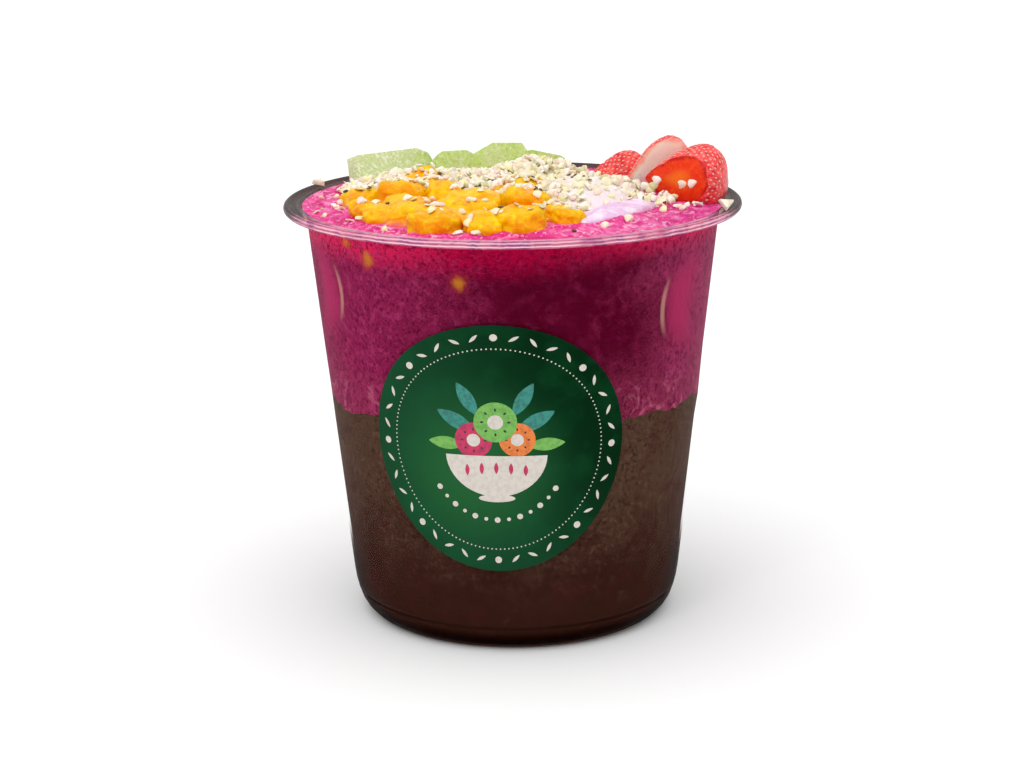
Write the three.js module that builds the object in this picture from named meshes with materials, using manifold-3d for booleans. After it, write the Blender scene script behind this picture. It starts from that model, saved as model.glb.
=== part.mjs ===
// Acai bowl to take away: a clear plastic cup with a round sticker, filled to the rim with a dark
// blended layer below and a pink blended layer above, topped with kiwi, mango, strawberry, a spoonful
// of thick yoghurt, shelled hemp seed and two nut chips. Millimetres, +Z up, origin at the middle of
// the base. The front, where the sticker is, faces -Y.
import * as THREE from "three";
import { mergeVertices } from "three/addons/utils/BufferGeometryUtils.js";
import Module from "manifold-3d";

const wasm = await Module();
wasm.setup();

// ---- Cup
const CUP_HEIGHT = 108.5;
const RIM_RADIUS = 58.7;
const BEAD_RADIUS = 1.05;
const FLANGE_THICKNESS = 1.1;
const FLANGE_INNER_RADIUS = 54.2;
const WALL_THICKNESS = 0.8;
const WALL_TAPER = 0.11; // radius gained per mm of height
const WALL_RADIUS_AT_98 = 52.54;
const WALL_START = 20; // height where the rounded foot has run into the straight wall
const FOOT_RADIUS = 37.4;
const FOOT_RING_INNER = 33.5;
const FOOT_RECESS = 1.2;
const FLOOR_TOP = 2.1;
const GROOVE_HEIGHT = 6.7;
const GROOVE_DEPTH = 0.35;
const ROUND = 44; // facets round the cup and its contents
const BORDER_ROWS = 5; // rings of facets where the two layers meet
const TOP_ROWS = 7; // rings of facets on top

// ---- Contents
const GAP = 0.3;
const BORDER_HEIGHT = 59.6; // mean level where the dark layer meets the pink one
const PINK_START = 52; // below the whole of the border
const FILL_AT_WALL = 107.6;
const FILL_DOME = 0.9;
const FILL_EDGE_RADIUS = 53.3; // the fill runs out over the rounded mouth of the wall

// ---- Sticker
const STICKER_RADIUS = 32.2;
const STICKER_HEIGHT = 54.8; // level of its centre
const STICKER_TURN = -5.6; // degrees round the cup from the front
const STICKER_THICKNESS = 0.25;
const STICKER_CLEARANCE = 0.25;

// ---- Toppings
const MANGO_POWER = 4; // how square a chunk is
const SEED = { long: 1.45, wide: 1.0, high: 0.75 }; // half sizes of a hemp seed
const KIWI_THICKNESS = 5.2;

const degrees = THREE.MathUtils.degToRad;

// Repeatable random numbers from 0 to 1.
function randomFrom(seed) {
  let state = seed;
  return () => {
    state = (state * 1664525 + 1013904223) % 4294967296;
    return state / 4294967296;
  };
}

// ---- From three.js geometry to a solid and back
function solidFrom(geometry) {
  const bare = geometry.clone();
  bare.deleteAttribute("normal");
  bare.deleteAttribute("uv");
  const merged = mergeVertices(bare, 1e-4);
  const kept = [];
  const index = merged.index.array;
  for (let i = 0; i < index.length; i += 3) {
    const [a, b, c] = [index[i], index[i + 1], index[i + 2]];
    if (a !== b && b !== c && c !== a) kept.push(a, b, c);
  }
  const build = (triangles) =>
    new wasm.Manifold(
      new wasm.Mesh({
        numProp: 3,
        vertProperties: new Float32Array(merged.attributes.position.array),
        triVerts: new Uint32Array(triangles),
      }),
    );
  const made = build(kept);
  if (made.volume() > 0) return made;
  for (let i = 0; i < kept.length; i += 3)
    [kept[i + 1], kept[i + 2]] = [kept[i + 2], kept[i + 1]];
  return build(kept);
}

function geometryFrom(solid) {
  const mesh = solid.getMesh();
  const positions = new Float32Array(mesh.numVert * 3);
  for (let i = 0; i < mesh.numVert; i++)
    for (let k = 0; k < 3; k++)
      positions[3 * i + k] = mesh.vertProperties[mesh.numProp * i + k];
  const geometry = new THREE.BufferGeometry();
  geometry.setAttribute(
    "position",
    new THREE.BufferAttribute(positions, 3),
  );
  geometry.setIndex(new THREE.BufferAttribute(mesh.triVerts, 1));
  return geometry;
}

// The largest body of a solid: loose scraps left by a cut are dropped.
function mainBody(solid) {
  return solid
    .decompose()
    .reduce((best, body) => (body.volume() > best.volume() ? body : best));
}

// A lathe about Z. The first column of the profile faces -Y.
function spun(points, segments = ROUND) {
  const profile = points.map(([r, z]) => new THREE.Vector2(r, z));
  return new THREE.LatheGeometry(profile, segments).rotateX(Math.PI / 2);
}

// Moves each vertex of a geometry by a function of its place.
function reshaped(geometry, move) {
  const at = geometry.attributes.position;
  const point = new THREE.Vector3();
  for (let i = 0; i < at.count; i++) {
    move(point.fromBufferAttribute(at, i), i);
    at.setXYZ(i, point.x, point.y, point.z);
  }
  return geometry;
}

// Moved to a place and turned: by angles about X, Y and Z (degrees), or so that the piece's own X
// and Z axes point along two given directions.
function placing({ at, turn = [0, 0, 0], x, z }) {
  const place = new THREE.Matrix4();
  if (z) {
    const up = new THREE.Vector3(...z).normalize();
    const side = new THREE.Vector3(...x);
    side.addScaledVector(up, -side.dot(up)).normalize();
    place.makeBasis(side, up.clone().cross(side), up);
  } else {
    const [a, b, c] = turn.map(degrees);
    place.makeRotationFromEuler(new THREE.Euler(a, b, c, "ZYX"));
  }
  return place.setPosition(...at);
}

// A centred geometry with all its faces moved out by about a given distance.
function swollen(geometry, by) {
  geometry.computeBoundingBox();
  const size = geometry.boundingBox.getSize(new THREE.Vector3());
  const middle = geometry.boundingBox.getCenter(new THREE.Vector3());
  return geometry
    .clone()
    .translate(-middle.x, -middle.y, -middle.z)
    .scale(
      1 + (2 * by) / size.x,
      1 + (2 * by) / size.y,
      1 + (2 * by) / size.z,
    )
    .translate(middle.x, middle.y, middle.z);
}

// ---- The cup
const wallOuter = (z) => WALL_RADIUS_AT_98 - WALL_TAPER * (98 - z);

// Radius of the rounded foot, outside, at a height below the straight wall.
function footOuter(z) {
  const steps = [
    [0, FOOT_RADIUS],
    [1.2, FOOT_RADIUS + 1.3],
    [3.5, 41.0],
    [GROOVE_HEIGHT, 42.15],
    [10, 42.85],
    [15, 43.35],
    [WALL_START, wallOuter(WALL_START)],
  ];
  const after = steps.findIndex(([height]) => height >= z);
  if (after <= 0) return steps[0][1];
  const [[z0, r0], [z1, r1]] = [steps[after - 1], steps[after]];
  return r0 + ((r1 - r0) * (z - z0)) / (z1 - z0);
}
const outside = (z) => (z < WALL_START ? footOuter(z) : wallOuter(z));
const inside = (z) => outside(z) - WALL_THICKNESS;

function cupProfile() {
  const beadMiddle = CUP_HEIGHT - BEAD_RADIUS;
  const beadReach = RIM_RADIUS - BEAD_RADIUS;
  const flangeUnder = CUP_HEIGHT - 0.35 - FLANGE_THICKNESS;
  const neck = flangeUnder - 1.4;
  const points = [
    [0, FOOT_RECESS],
    [FOOT_RING_INNER - 0.9, FOOT_RECESS],
    [FOOT_RING_INNER, 0],
  ];
  for (const z of [0, 1.2, 3.5]) points.push([footOuter(z), z]);
  points.push([footOuter(GROOVE_HEIGHT - 0.5), GROOVE_HEIGHT - 0.5]);
  points.push([footOuter(GROOVE_HEIGHT) - GROOVE_DEPTH, GROOVE_HEIGHT]);
  points.push([footOuter(GROOVE_HEIGHT + 0.5), GROOVE_HEIGHT + 0.5]);
  for (const z of [10, 15, WALL_START, neck]) points.push([outside(z), z]);
  points.push([outside(neck) + 0.5, flangeUnder - 0.35]);
  points.push([outside(neck) + 1.6, flangeUnder]);
  points.push([beadReach - BEAD_RADIUS, flangeUnder]);
  for (const a of [-90, -30, 30, 90, 150]) {
    const turn = degrees(a);
    points.push([
      beadReach + BEAD_RADIUS * Math.cos(turn),
      beadMiddle + BEAD_RADIUS * Math.sin(turn),
    ]);
  }
  points.push([FLANGE_INNER_RADIUS + 0.6, CUP_HEIGHT - 0.4]);
  points.push([FLANGE_INNER_RADIUS, CUP_HEIGHT - 0.55]);
  points.push([FLANGE_INNER_RADIUS - 1.0, CUP_HEIGHT - 1.3]);
  points.push([inside(CUP_HEIGHT - 3.2), CUP_HEIGHT - 3.2]);
  for (const z of [WALL_START, 15, 10, 6.4]) points.push([inside(z), z]);
  points.push([inside(4.4), 4.4]);
  points.push([FOOT_RADIUS, 2.7]);
  points.push([FOOT_RADIUS - 2.2, FLOOR_TOP]);
  points.push([0, FLOOR_TOP]);
  return points;
}

// ---- The two layers
function borderAt(x, y) {
  const angle = Math.atan2(y, x);
  const out = Math.hypot(x, y) / 48;
  const wave =
    0.6 * Math.cos(2 * angle - 1.77) +
    1.3 * Math.cos(5 * angle - 2.84) +
    0.85 * Math.cos(9 * angle + 2.86) +
    0.46 * Math.cos(13 * angle - 2.16);
  return (
    BORDER_HEIGHT +
    wave * Math.min(1, out) ** 3 +
    1.1 * (1 - out * out) * Math.sin(0.11 * x + 0.6) * Math.cos(0.09 * y)
  );
}

function fillAt(x, y) {
  const out = Math.min(1, Math.hypot(x, y) / 52);
  return (
    FILL_AT_WALL +
    FILL_DOME * (1 - out ** 2.4) +
    0.4 * (1 - out ** 6) * Math.sin(0.19 * x + 0.13 * y) +
    0.3 * (1 - out ** 6) * Math.sin(0.31 * y - 0.12 * x + 1.1)
  );
}

// A layer: its profile runs along the bottom, up the wall and back over the top, and the rows of
// the top follow a level function.
function layer({ bottom, wall, top, topLevel }) {
  const rows = [...bottom, ...wall, ...top];
  return reshaped(spun(rows), (point, i) => {
    if (i % rows.length >= bottom.length + wall.length)
      point.z = topLevel(point.x, point.y);
  });
}

const across = (from, to, steps) =>
  Array.from({ length: steps }, (_, i) => [
    from + ((to - from) * i) / (steps - 1),
    0,
  ]);

const skin = (z) => inside(z) - GAP;
const borderRows = across(skin(BORDER_HEIGHT), 0, BORDER_ROWS);

function darkLayer() {
  const floor = FLOOR_TOP + GAP;
  return layer({
    bottom: [
      [0, floor],
      [FOOT_RADIUS - 2.4, floor],
      [FOOT_RADIUS - 0.4, 3.1],
    ],
    wall: [4.7, 6.5, 10, 15, WALL_START, 38].map((z) => [skin(z), z]),
    top: borderRows,
    topLevel: (x, y) => borderAt(x, y) - GAP / 2,
  });
}

// The pink layer before its underside is cut off at the border.
function pinkLayer() {
  return layer({
    bottom: [[0, PINK_START]],
    wall: [PINK_START, 84, 105.3].map((z) => [skin(z), z]),
    top: across(FILL_EDGE_RADIUS, 0, TOP_ROWS),
    topLevel: fillAt,
  });
}

// All that is under the border, out past the wall.
function underBorder() {
  return layer({
    bottom: [[0, PINK_START - 5]],
    wall: [[60, PINK_START - 5]],
    top: [[60, 0], ...borderRows],
    topLevel: (x, y) => borderAt(x, y) + GAP / 2,
  });
}

// ---- The sticker: a flat disc wrapped round the tapered wall
function stickerGeometry() {
  const rings = 4;
  const rows = [];
  for (let i = 0; i <= rings; i++) rows.push([(STICKER_RADIUS * i) / rings, 0]);
  for (let i = rings; i >= 0; i--)
    rows.push([(STICKER_RADIUS * i) / rings, STICKER_THICKNESS]);
  const slope = Math.atan(WALL_TAPER);
  return reshaped(spun(rows, 36), (point) => {
    const away = STICKER_CLEARANCE + point.z;
    const z = STICKER_HEIGHT + point.y * Math.cos(slope);
    const radius = wallOuter(z) + away;
    const angle =
      degrees(STICKER_TURN - 90) + point.x / wallOuter(STICKER_HEIGHT);
    point.set(radius * Math.cos(angle), radius * Math.sin(angle), z);
  });
}

// ---- Hemp seed
function seedSolid(place, swell = 0) {
  return solidFrom(
    new THREE.SphereGeometry(1, 5, 4)
      .scale(SEED.long + swell, SEED.wide + swell, SEED.high + swell)
      .applyMatrix4(placing(place)),
  );
}

// A seed lying on a surface, turned at random and tipped a little.
const lyingSeed = (at, random) => ({
  at,
  turn: [30 * (random() - 0.5), 50 * (random() - 0.5), 360 * random()],
});

// ---- Fruit
// A soft cube: the corners are drawn in and the faces dented a little.
function mangoGeometry({ half, seed }) {
  const random = randomFrom(seed);
  const phase = [random() * 6, random() * 6, random() * 6];
  const geometry = new THREE.BoxGeometry(2, 2, 2, 3, 3, 3);
  return reshaped(geometry, (point) => {
    const length =
      (Math.abs(point.x) ** MANGO_POWER +
        Math.abs(point.y) ** MANGO_POWER +
        Math.abs(point.z) ** MANGO_POWER) **
      (1 / MANGO_POWER);
    point.divideScalar(length);
    const dent =
      1 +
      0.11 * Math.sin(2.3 * point.x + phase[0]) +
      0.1 * Math.sin(2.7 * point.y + phase[1]) +
      0.07 * Math.sin(2.1 * point.z + phase[2]);
    point.multiplyScalar(dent).multiply(new THREE.Vector3(...half));
  });
}

// A slice whose face looks along +Z, cut off straight where a cut is given: [turn, distance].
function kiwiSolid({ half, cuts = [], swell = 0 }) {
  const geometry = new THREE.CylinderGeometry(
    1,
    1 - 0.7 / half[0],
    KIWI_THICKNESS + 2 * swell,
    24,
  )
    .rotateX(Math.PI / 2)
    .scale(half[0] + swell, half[1] + swell, 1);
  let slice = solidFrom(geometry);
  for (const [turn, distance] of cuts) {
    const knife = new THREE.BoxGeometry(80, 40, 40)
      .translate(0, distance + swell + 20, 0)
      .rotateZ(degrees(turn));
    slice = slice.subtract(solidFrom(knife));
  }
  return slice;
}

// A strawberry about Z, its tip up, its shoulder at the bottom, then tipped by a lean in degrees so
// that its tip moves towards -X.
function strawberryGeometry({ length, radius, lean, swell = 0 }) {
  const rows = [0, 0.03, 0.1, 0.2, 0.33, 0.5, 0.66, 0.8, 0.92, 1].map((t) => [
    radius * Math.abs(Math.sin(Math.PI * t ** 0.57)) ** 0.75 * (t < 1 ? 1 : 0),
    length * (t - 0.5),
  ]);
  const geometry = spun(rows, 22).rotateY(degrees(-lean));
  return swell ? swollen(geometry, swell) : geometry;
}

// What is left of a strawberry between two parallel cuts, measured along +X from its middle.
function strawberrySolid({ length, radius, lean = 0, from, to, swell = 0 }) {
  const whole = solidFrom(strawberryGeometry({ length, radius, lean, swell }));
  const slab = new THREE.BoxGeometry(to - from + 2 * swell, 80, 80).translate(
    (from + to) / 2,
    0,
    0,
  );
  return whole.intersect(solidFrom(slab));
}

function moved(solid, place) {
  return solidFrom(geometryFrom(solid).applyMatrix4(placing(place)));
}

// ---- Soft heaps: a low mound with a wandering outline
// The point of a mound at a turn about its middle and a share of the way out to its edge.
function moundPoint(spec, angle, out, swell = 0) {
  const random = randomFrom(spec.seed);
  const phase = [random() * 6, random() * 6, random() * 6];
  const edge =
    1 +
    0.09 * Math.sin(2 * angle + phase[0]) +
    0.07 * Math.sin(3 * angle + phase[1]) +
    0.04 * Math.sin(5 * angle + phase[2]);
  const u = (spec.half[0] + swell) * edge * out * Math.cos(angle);
  const v = (spec.half[1] + swell) * edge * out * Math.sin(angle);
  const cos = Math.cos(degrees(spec.turn));
  const sin = Math.sin(degrees(spec.turn));
  const x = spec.at[0] + u * cos - v * sin;
  const y = spec.at[1] + u * sin + v * cos;
  const bump =
    0.5 * Math.sin(0.5 * x + phase[1]) * Math.sin(0.55 * y + phase[2]);
  const rise = Math.max(0, 1 - out * out) ** spec.power;
  return [x, y, spec.base + swell + rise * (spec.height + bump * rise)];
}

function moundSolid(spec, swell = 0) {
  const rings = 5;
  const rows = [
    [0, 0],
    [1, 0],
  ];
  for (let i = 0; i <= rings; i++) rows.push([1 - i / rings, 1]);
  return solidFrom(
    reshaped(spun(rows, 22), (point) => {
      const angle = Math.atan2(point.y, point.x);
      const out = Math.hypot(point.x, point.y);
      const [x, y, z] = moundPoint(spec, angle, out, swell);
      point.set(x, y, point.z < 0.5 ? spec.base - 2 : z);
    }),
  );
}

// ---- Where the toppings lie
const STRAWBERRIES = {
  strawberry_half: {
    shape: { length: 21.4, radius: 8.9, lean: 24.5, from: -4.8, to: 12 },
    place: { at: [44.4, -0.3, 113.0], z: [-0.8, 0.6, -0.06], x: [0.6, 0.79, -0.1] },
  },
  strawberry_slice: {
    shape: { length: 19.6, radius: 6.1, from: -0.5, to: 6.1 },
    place: { at: [37.3, 9.6, 114.2], z: [-0.84, 0, -0.54], x: [-0.25, 0.93, 0.2] },
  },
  strawberry_back: {
    shape: { length: 17, radius: 5.4, from: -6, to: 1 },
    place: { at: [27.2, 21.9, 110.7], z: [-0.94, 0, -0.34], x: [0, 0.9, 0.4] },
  },
};

const KIWIS = {
  kiwi_slice_left: {
    shape: { half: [14.6, 14.5], cuts: [[0, 8.7], [-25, 11.8], [84, 10.9]] },
    place: { at: [-33.1, 32.7, 106.6], z: [0.564, -0.752, 0.34], x: [0.8, 0.6, 0] },
  },
  kiwi_slice_middle: {
    shape: { half: [8.8, 9.5], cuts: [[0, 8.8]] },
    place: { at: [-15.5, 40.1, 105.4], z: [0.244, -0.912, 0.34], x: [0.97, 0.26, 0] },
  },
  kiwi_slice_right: {
    shape: { half: [21, 17], cuts: [[0, 15.6], [31, 15.2], [-55, 12.7]] },
    place: { at: [-2.1, 38.8, 100.8], z: [-0.094, -0.935, 0.34], x: [1, -0.1, 0] },
  },
  kiwi_slice_far: {
    shape: { half: [12.5, 12.8], cuts: [[-13, 12.1]] },
    place: { at: [7, 43.4, 101], z: [0.08, -0.935, 0.34], x: [1, 0.085, 0] },
  },
};

// Centre, half sizes and turn of each mango chunk, from the left to the right.
const MANGOS = [
  { at: [-38.6, 0.6, 107.2], half: [5.6, 6.6, 3.8], turn: [6, -8, 20] },
  { at: [-34.6, -22.0, 107.6], half: [4.6, 7.2, 3.2], turn: [5, 6, 30] },
  { at: [-27.8, -2.0, 108.6], half: [6.0, 7.2, 4.1], turn: [-8, 6, -15] },
  { at: [-26.0, -20.6, 107.9], half: [6.8, 8.6, 4.2], turn: [4, 4, 10] },
  { at: [-22.6, 11.0, 108.6], half: [5.8, 5.6, 4.0], turn: [10, -10, 30] },
  { at: [-18.4, -36.6, 107.9], half: [7.6, 7.2, 3.6], turn: [-4, 2, -12] },
  { at: [-15.6, -6.8, 108.5], half: [5.8, 7.0, 4.0], turn: [4, 12, 25] },
  { at: [-10.2, -21.6, 108.3], half: [7.8, 8.2, 4.5], turn: [3, -6, 8] },
  { at: [-7.2, -40.0, 107.3], half: [4.8, 5.8, 3.2], turn: [8, 4, 15] },
  { at: [2.2, -37.4, 108.2], half: [6.4, 7.4, 3.9], turn: [-6, -3, -10] },
  { at: [2.2, 3.0, 108.4], half: [6.2, 6.4, 4.1], turn: [8, -5, -18] },
  { at: [2.6, -17.0, 108.6], half: [6.0, 8.0, 4.1], turn: [-5, 8, 12] },
  { at: [11.8, -29.0, 107.9], half: [4.6, 5.8, 3.2], turn: [5, 10, 35] },
];

const YOGHURT = {
  at: [19.8, -0.5],
  half: [12.4, 22],
  turn: -10,
  base: 107.4,
  height: 5.3,
  power: 0.5,
  seed: 41,
};
const YOGHURT_SMEAR = {
  at: [25.4, -20.5],
  half: [5.2, 16.5],
  turn: -34,
  base: 108.1,
  height: 2.0,
  power: 0.5,
  seed: 17,
};

const HEMP_HEAP = {
  at: [-9, 20.5],
  half: [34, 16.5],
  turn: 2,
  base: 107.8,
  height: 2.3,
  power: 0.5,
  seed: 77,
};
const HEMP_HILL = {
  at: [6.8, 24],
  half: [12.5, 9.5],
  turn: -8,
  base: 107.8,
  height: 5.3,
  power: 0.5,
  seed: 23,
};
const HEAP_SEEDS = 18;
const HILL_SEEDS = 7;

// Patches of the pink layer with loose hemp seeds on it: middle, half sizes and how many.
const LOOSE_SEEDS = [
  { at: [-43, -12], half: [5, 7], count: 4 },
  { at: [36, -10], half: [7, 4], count: 7 },
  { at: [46, -17], half: [3, 3], count: 2 },
  { at: [34, 3], half: [3, 5], count: 5 },
  { at: [-46, 14], half: [3, 4], count: 3 },
];

// Flat three-cornered chips of nut lying on the rim.
const CHIP = { size: 2.4, thick: 1.3 };
const NUT_CHIPS = {
  nut_chip_left: { at: [-51.2, 20.8, 109.6], turn: [12, 6, 62] },
  nut_chip_right: { at: [52.9, -22.4, 110.5], turn: [56, 4, 6] },
};

// ---- Materials
const material = (color, roughness, options = {}) =>
  new THREE.MeshStandardMaterial({
    color,
    roughness,
    metalness: 0,
    ...options,
  });
const CLEAR = material("#e4e6e6", 0.08, { transparent: true, opacity: 0.3 });
const DARK = material("#3c231c", 0.45);
const PINK = material("#c21a72", 0.4);
const GREEN_PAPER = material("#14502d", 0.5);
const KIWI_FLESH = material("#bccf7e", 0.35);
const MANGO_FLESH = material("#f7ac12", 0.3);
const STRAWBERRY_RED = material("#d8242b", 0.35);
const YOGHURT_WHITE = material("#e9dfe2", 0.4);
const HEMP_CREAM = material("#ebdfc2", 0.6);
const NUT_WHITE = material("#f0ead8", 0.6);

const bowl = new THREE.Group();

// Adds a solid as a mesh whose own origin is the middle of its box.
function add(name, solid, surface) {
  const geometry = geometryFrom(solid);
  geometry.computeBoundingBox();
  const middle = geometry.boundingBox.getCenter(new THREE.Vector3());
  middle.set(...middle.toArray().map((value) => Math.round(value)));
  geometry.translate(-middle.x, -middle.y, -middle.z);
  geometry.computeVertexNormals();
  const mesh = new THREE.Mesh(geometry, surface);
  mesh.name = name;
  mesh.position.copy(middle);
  bowl.add(mesh);
}

// ---- Assembly
const pink = solidFrom(pinkLayer()).subtract(solidFrom(underBorder()));
const raisedPink = solidFrom(pinkLayer().translate(0, 0, GAP));
// The room the cup's wall and rim take up above the fill, with the gap round them.
const rimRoom = solidFrom(
  spun([
    [44, 96],
    [RIM_RADIUS + 3, 96],
    [RIM_RADIUS + 3, CUP_HEIGHT + GAP],
    [FLANGE_INNER_RADIUS - GAP, CUP_HEIGHT + GAP],
    [FILL_EDGE_RADIUS - GAP, FILL_AT_WALL + GAP],
    [44, FILL_AT_WALL - 1],
    [44, 96],
  ]),
);
const taken = [raisedPink, rimRoom];
const isClear = (solid) =>
  taken.every((room) => solid.intersect(room).volume() < 1e-3);

// Lays a topping on what is already there: it is cut clear of it, and its own room is kept.
function lay(name, solid, room, surface, seeds = []) {
  let cut = solid;
  for (const other of taken) cut = cut.subtract(other);
  cut = mainBody(cut);
  for (const seed of seeds.filter((place) => isClear(seedSolid(place)))) {
    cut = cut.add(seedSolid(seed));
    room = room.add(seedSolid(seed, GAP));
  }
  taken.push(room);
  add(name, mainBody(cut), surface);
}

add("cup", solidFrom(spun(cupProfile())), CLEAR);
add("acai_layer", solidFrom(darkLayer()), DARK);
add("sticker", solidFrom(stickerGeometry()), GREEN_PAPER);

for (const [name, { shape, place }] of Object.entries(STRAWBERRIES))
  lay(
    name,
    moved(strawberrySolid(shape), place),
    moved(strawberrySolid({ ...shape, swell: GAP }), place),
    STRAWBERRY_RED,
  );

for (const [name, { shape, place }] of Object.entries(KIWIS))
  lay(
    name,
    moved(kiwiSolid(shape), place),
    moved(kiwiSolid({ ...shape, swell: GAP }), place),
    KIWI_FLESH,
  );

MANGOS.forEach((chunk, i) => {
  const random = randomFrom(500 + 7 * i);
  const geometry = mangoGeometry({ half: chunk.half, seed: 90 + i });
  const at = placing(chunk);
  const u = 1.3 * random() - 0.65;
  const v = 1.3 * random() - 0.65;
  const w = (1 - u ** 4 - v ** 4) ** 0.25 + 0.06;
  const top = new THREE.Vector3(u, v, w)
    .multiply(new THREE.Vector3(...chunk.half))
    .applyMatrix4(at);
  lay(
    "mango_chunk_" + (i + 1),
    solidFrom(geometry.clone().applyMatrix4(at)),
    solidFrom(swollen(geometry, GAP).applyMatrix4(at)),
    MANGO_FLESH,
    [lyingSeed(top.toArray(), random)],
  );
});

const onMound = (spec, count, seed, lift, reach = 0.9) => {
  const random = randomFrom(seed);
  return Array.from({ length: count }, () => {
    const angle = 2 * Math.PI * random();
    const out = reach * Math.sqrt(random());
    const [x, y, z] = moundPoint(spec, angle, out);
    return lyingSeed([x, y, z + lift], random);
  });
};

lay(
  "yoghurt",
  moundSolid(YOGHURT).add(moundSolid(YOGHURT_SMEAR)),
  moundSolid(YOGHURT, GAP).add(moundSolid(YOGHURT_SMEAR, GAP)),
  YOGHURT_WHITE,
  onMound(YOGHURT, 8, 12, 0.2, 0.75),
);
lay(
  "hemp_seed_heap",
  moundSolid(HEMP_HEAP).add(moundSolid(HEMP_HILL)),
  moundSolid(HEMP_HEAP, GAP).add(moundSolid(HEMP_HILL, GAP)),
  HEMP_CREAM,
  [
    ...onMound(HEMP_HEAP, HEAP_SEEDS, 5, 0.3),
    ...onMound(HEMP_HILL, HILL_SEEDS, 9, 0.3),
  ],
);

const chipGeometry = new THREE.CylinderGeometry(
  CHIP.size * 0.86,
  CHIP.size,
  CHIP.thick,
  3,
)
  .rotateX(Math.PI / 2)
  .scale(1, 0.8, 1);
for (const [name, place] of Object.entries(NUT_CHIPS))
  add(name, solidFrom(chipGeometry.clone().applyMatrix4(placing(place))), NUT_WHITE);

// Loose seeds stuck to the pink layer.
let pinkWithSeeds = pink;
taken.shift();
LOOSE_SEEDS.forEach(({ at, half, count }, patch) => {
  const random = randomFrom(300 + patch);
  for (let i = 0; i < count; i++) {
    const x = at[0] + half[0] * (2 * random() - 1);
    const y = at[1] + half[1] * (2 * random() - 1);
    const seed = seedSolid(lyingSeed([x, y, fillAt(x, y) + 0.25], random));
    const room = seedSolid(lyingSeed([x, y, fillAt(x, y) + 0.25], random), GAP);
    if (isClear(room)) pinkWithSeeds = pinkWithSeeds.add(seed);
  }
});
add("pitaya_layer", mainBody(pinkWithSeeds), PINK);

export default bowl;
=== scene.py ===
"""Acai bowl to take away: the looks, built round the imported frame.

A clear cup with a round sticker holds a dark blended layer under a pink one, and on top lie kiwi, mango,
strawberry, thick yoghurt, shelled hemp seed and two nut chips. Shapes are made in millimetres and written
in metres. The front faces -Y.
"""

import math

import bmesh
import bpy
from bpy.props import FloatProperty, FloatVectorProperty, IntProperty, PointerProperty
from mathutils import Euler, Matrix, Vector, noise
from mathutils.bvhtree import BVHTree
from mathutils.kdtree import KDTree


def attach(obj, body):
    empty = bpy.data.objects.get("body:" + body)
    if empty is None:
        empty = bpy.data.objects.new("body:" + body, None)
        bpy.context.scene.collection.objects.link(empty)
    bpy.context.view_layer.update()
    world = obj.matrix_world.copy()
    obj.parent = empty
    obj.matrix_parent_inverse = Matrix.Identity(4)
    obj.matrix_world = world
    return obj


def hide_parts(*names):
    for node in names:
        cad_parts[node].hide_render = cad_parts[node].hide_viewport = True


bl_info = {
    "name": "Acai Bowl",
    "version": (1, 0, 0),
    "blender": (4, 5, 0),
    "location": "3D View > Sidebar > Acai Bowl",
    "description": "Builds a take-away acai bowl with its toppings and a studio round it",
    "category": "Add Mesh",
}

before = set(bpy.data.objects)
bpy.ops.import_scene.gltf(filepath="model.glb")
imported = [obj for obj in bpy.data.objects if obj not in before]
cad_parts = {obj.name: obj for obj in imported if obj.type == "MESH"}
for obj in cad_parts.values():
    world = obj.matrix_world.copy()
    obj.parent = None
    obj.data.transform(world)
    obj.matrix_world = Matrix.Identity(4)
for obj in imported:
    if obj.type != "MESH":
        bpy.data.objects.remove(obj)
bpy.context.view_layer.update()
MM = 0.001
WALL_TAPER = 0.11  # what the wall's radius gains for each mm of height
WALL_RADIUS, WALL_LEVEL = 52.54, 98  # the wall's outer radius at one height
STRAIGHT_FROM = 20  # the height where the foot's curve ends
BORDER = 59.6  # mean height of the border between the two layers


def linear(value):
    """A colour as three linear numbers, from those or from its hex text."""
    if not isinstance(value, str):
        return value
    parts = [int(value[i : i + 2], 16) / 255 for i in (0, 2, 4)]
    return tuple(p / 12.92 if p <= 0.04045 else ((p + 0.055) / 1.055) ** 2.4 for p in parts)


def paint(value):
    """A colour with its alpha, for a colour socket. Another node's socket is passed on."""
    return value if isinstance(value, bpy.types.NodeSocket) else (*linear(value), 1)


def colour(name, text, description):
    return FloatVectorProperty(
        name=name, description=description, subtype="COLOR", size=3, min=0, max=1, default=linear(text)
    )


def number(name, value, description, **more):
    return FloatProperty(name=name, description=description, default=value, min=0, **more)


# ---- Settings


class CupSettings(bpy.types.PropertyGroup):
    rim_radius: number("Rim radius", 58.7, "Outside radius of the rim, in mm")
    height: number("Height", 108.5, "Height of the cup, in mm")
    wall: number("Wall", 0.8, "Thickness of the wall, in mm")
    # Painted shade: the dark grey tint of the rim at its sides and back stands for the dark surroundings
    # seen through it; the next tint is the lighter, clearer one left in front.
    rim_shade: colour("Smoke", "8e7a75", "Tint of the plastic where the rim turns over")
    clear: colour("Clear", "f6d3dc", "Tint of the rim in front, over the pink fill")


class FillSettings(bpy.types.PropertyGroup):
    pink: colour("Pink", "881f4b", "Pink layer seen through the wall")
    # Painted shade: the pink layer takes this deeper pink right of the middle, where less light falls.
    pink_shaded: colour("Deep pink", "50031d", "Deeper parts of the pink layer")
    pink_top: colour("Pink top", "e8388f", "Open top of the pink layer")
    pink_foam: colour("Pink foam", "f58cc0", "Streaks of foam on the open top")
    dark: colour("Dark", "331a13", "Dark layer seen through the wall")
    dark_pale: colour("Pale dark", "4d372b", "Paler parts of the dark layer")


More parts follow.
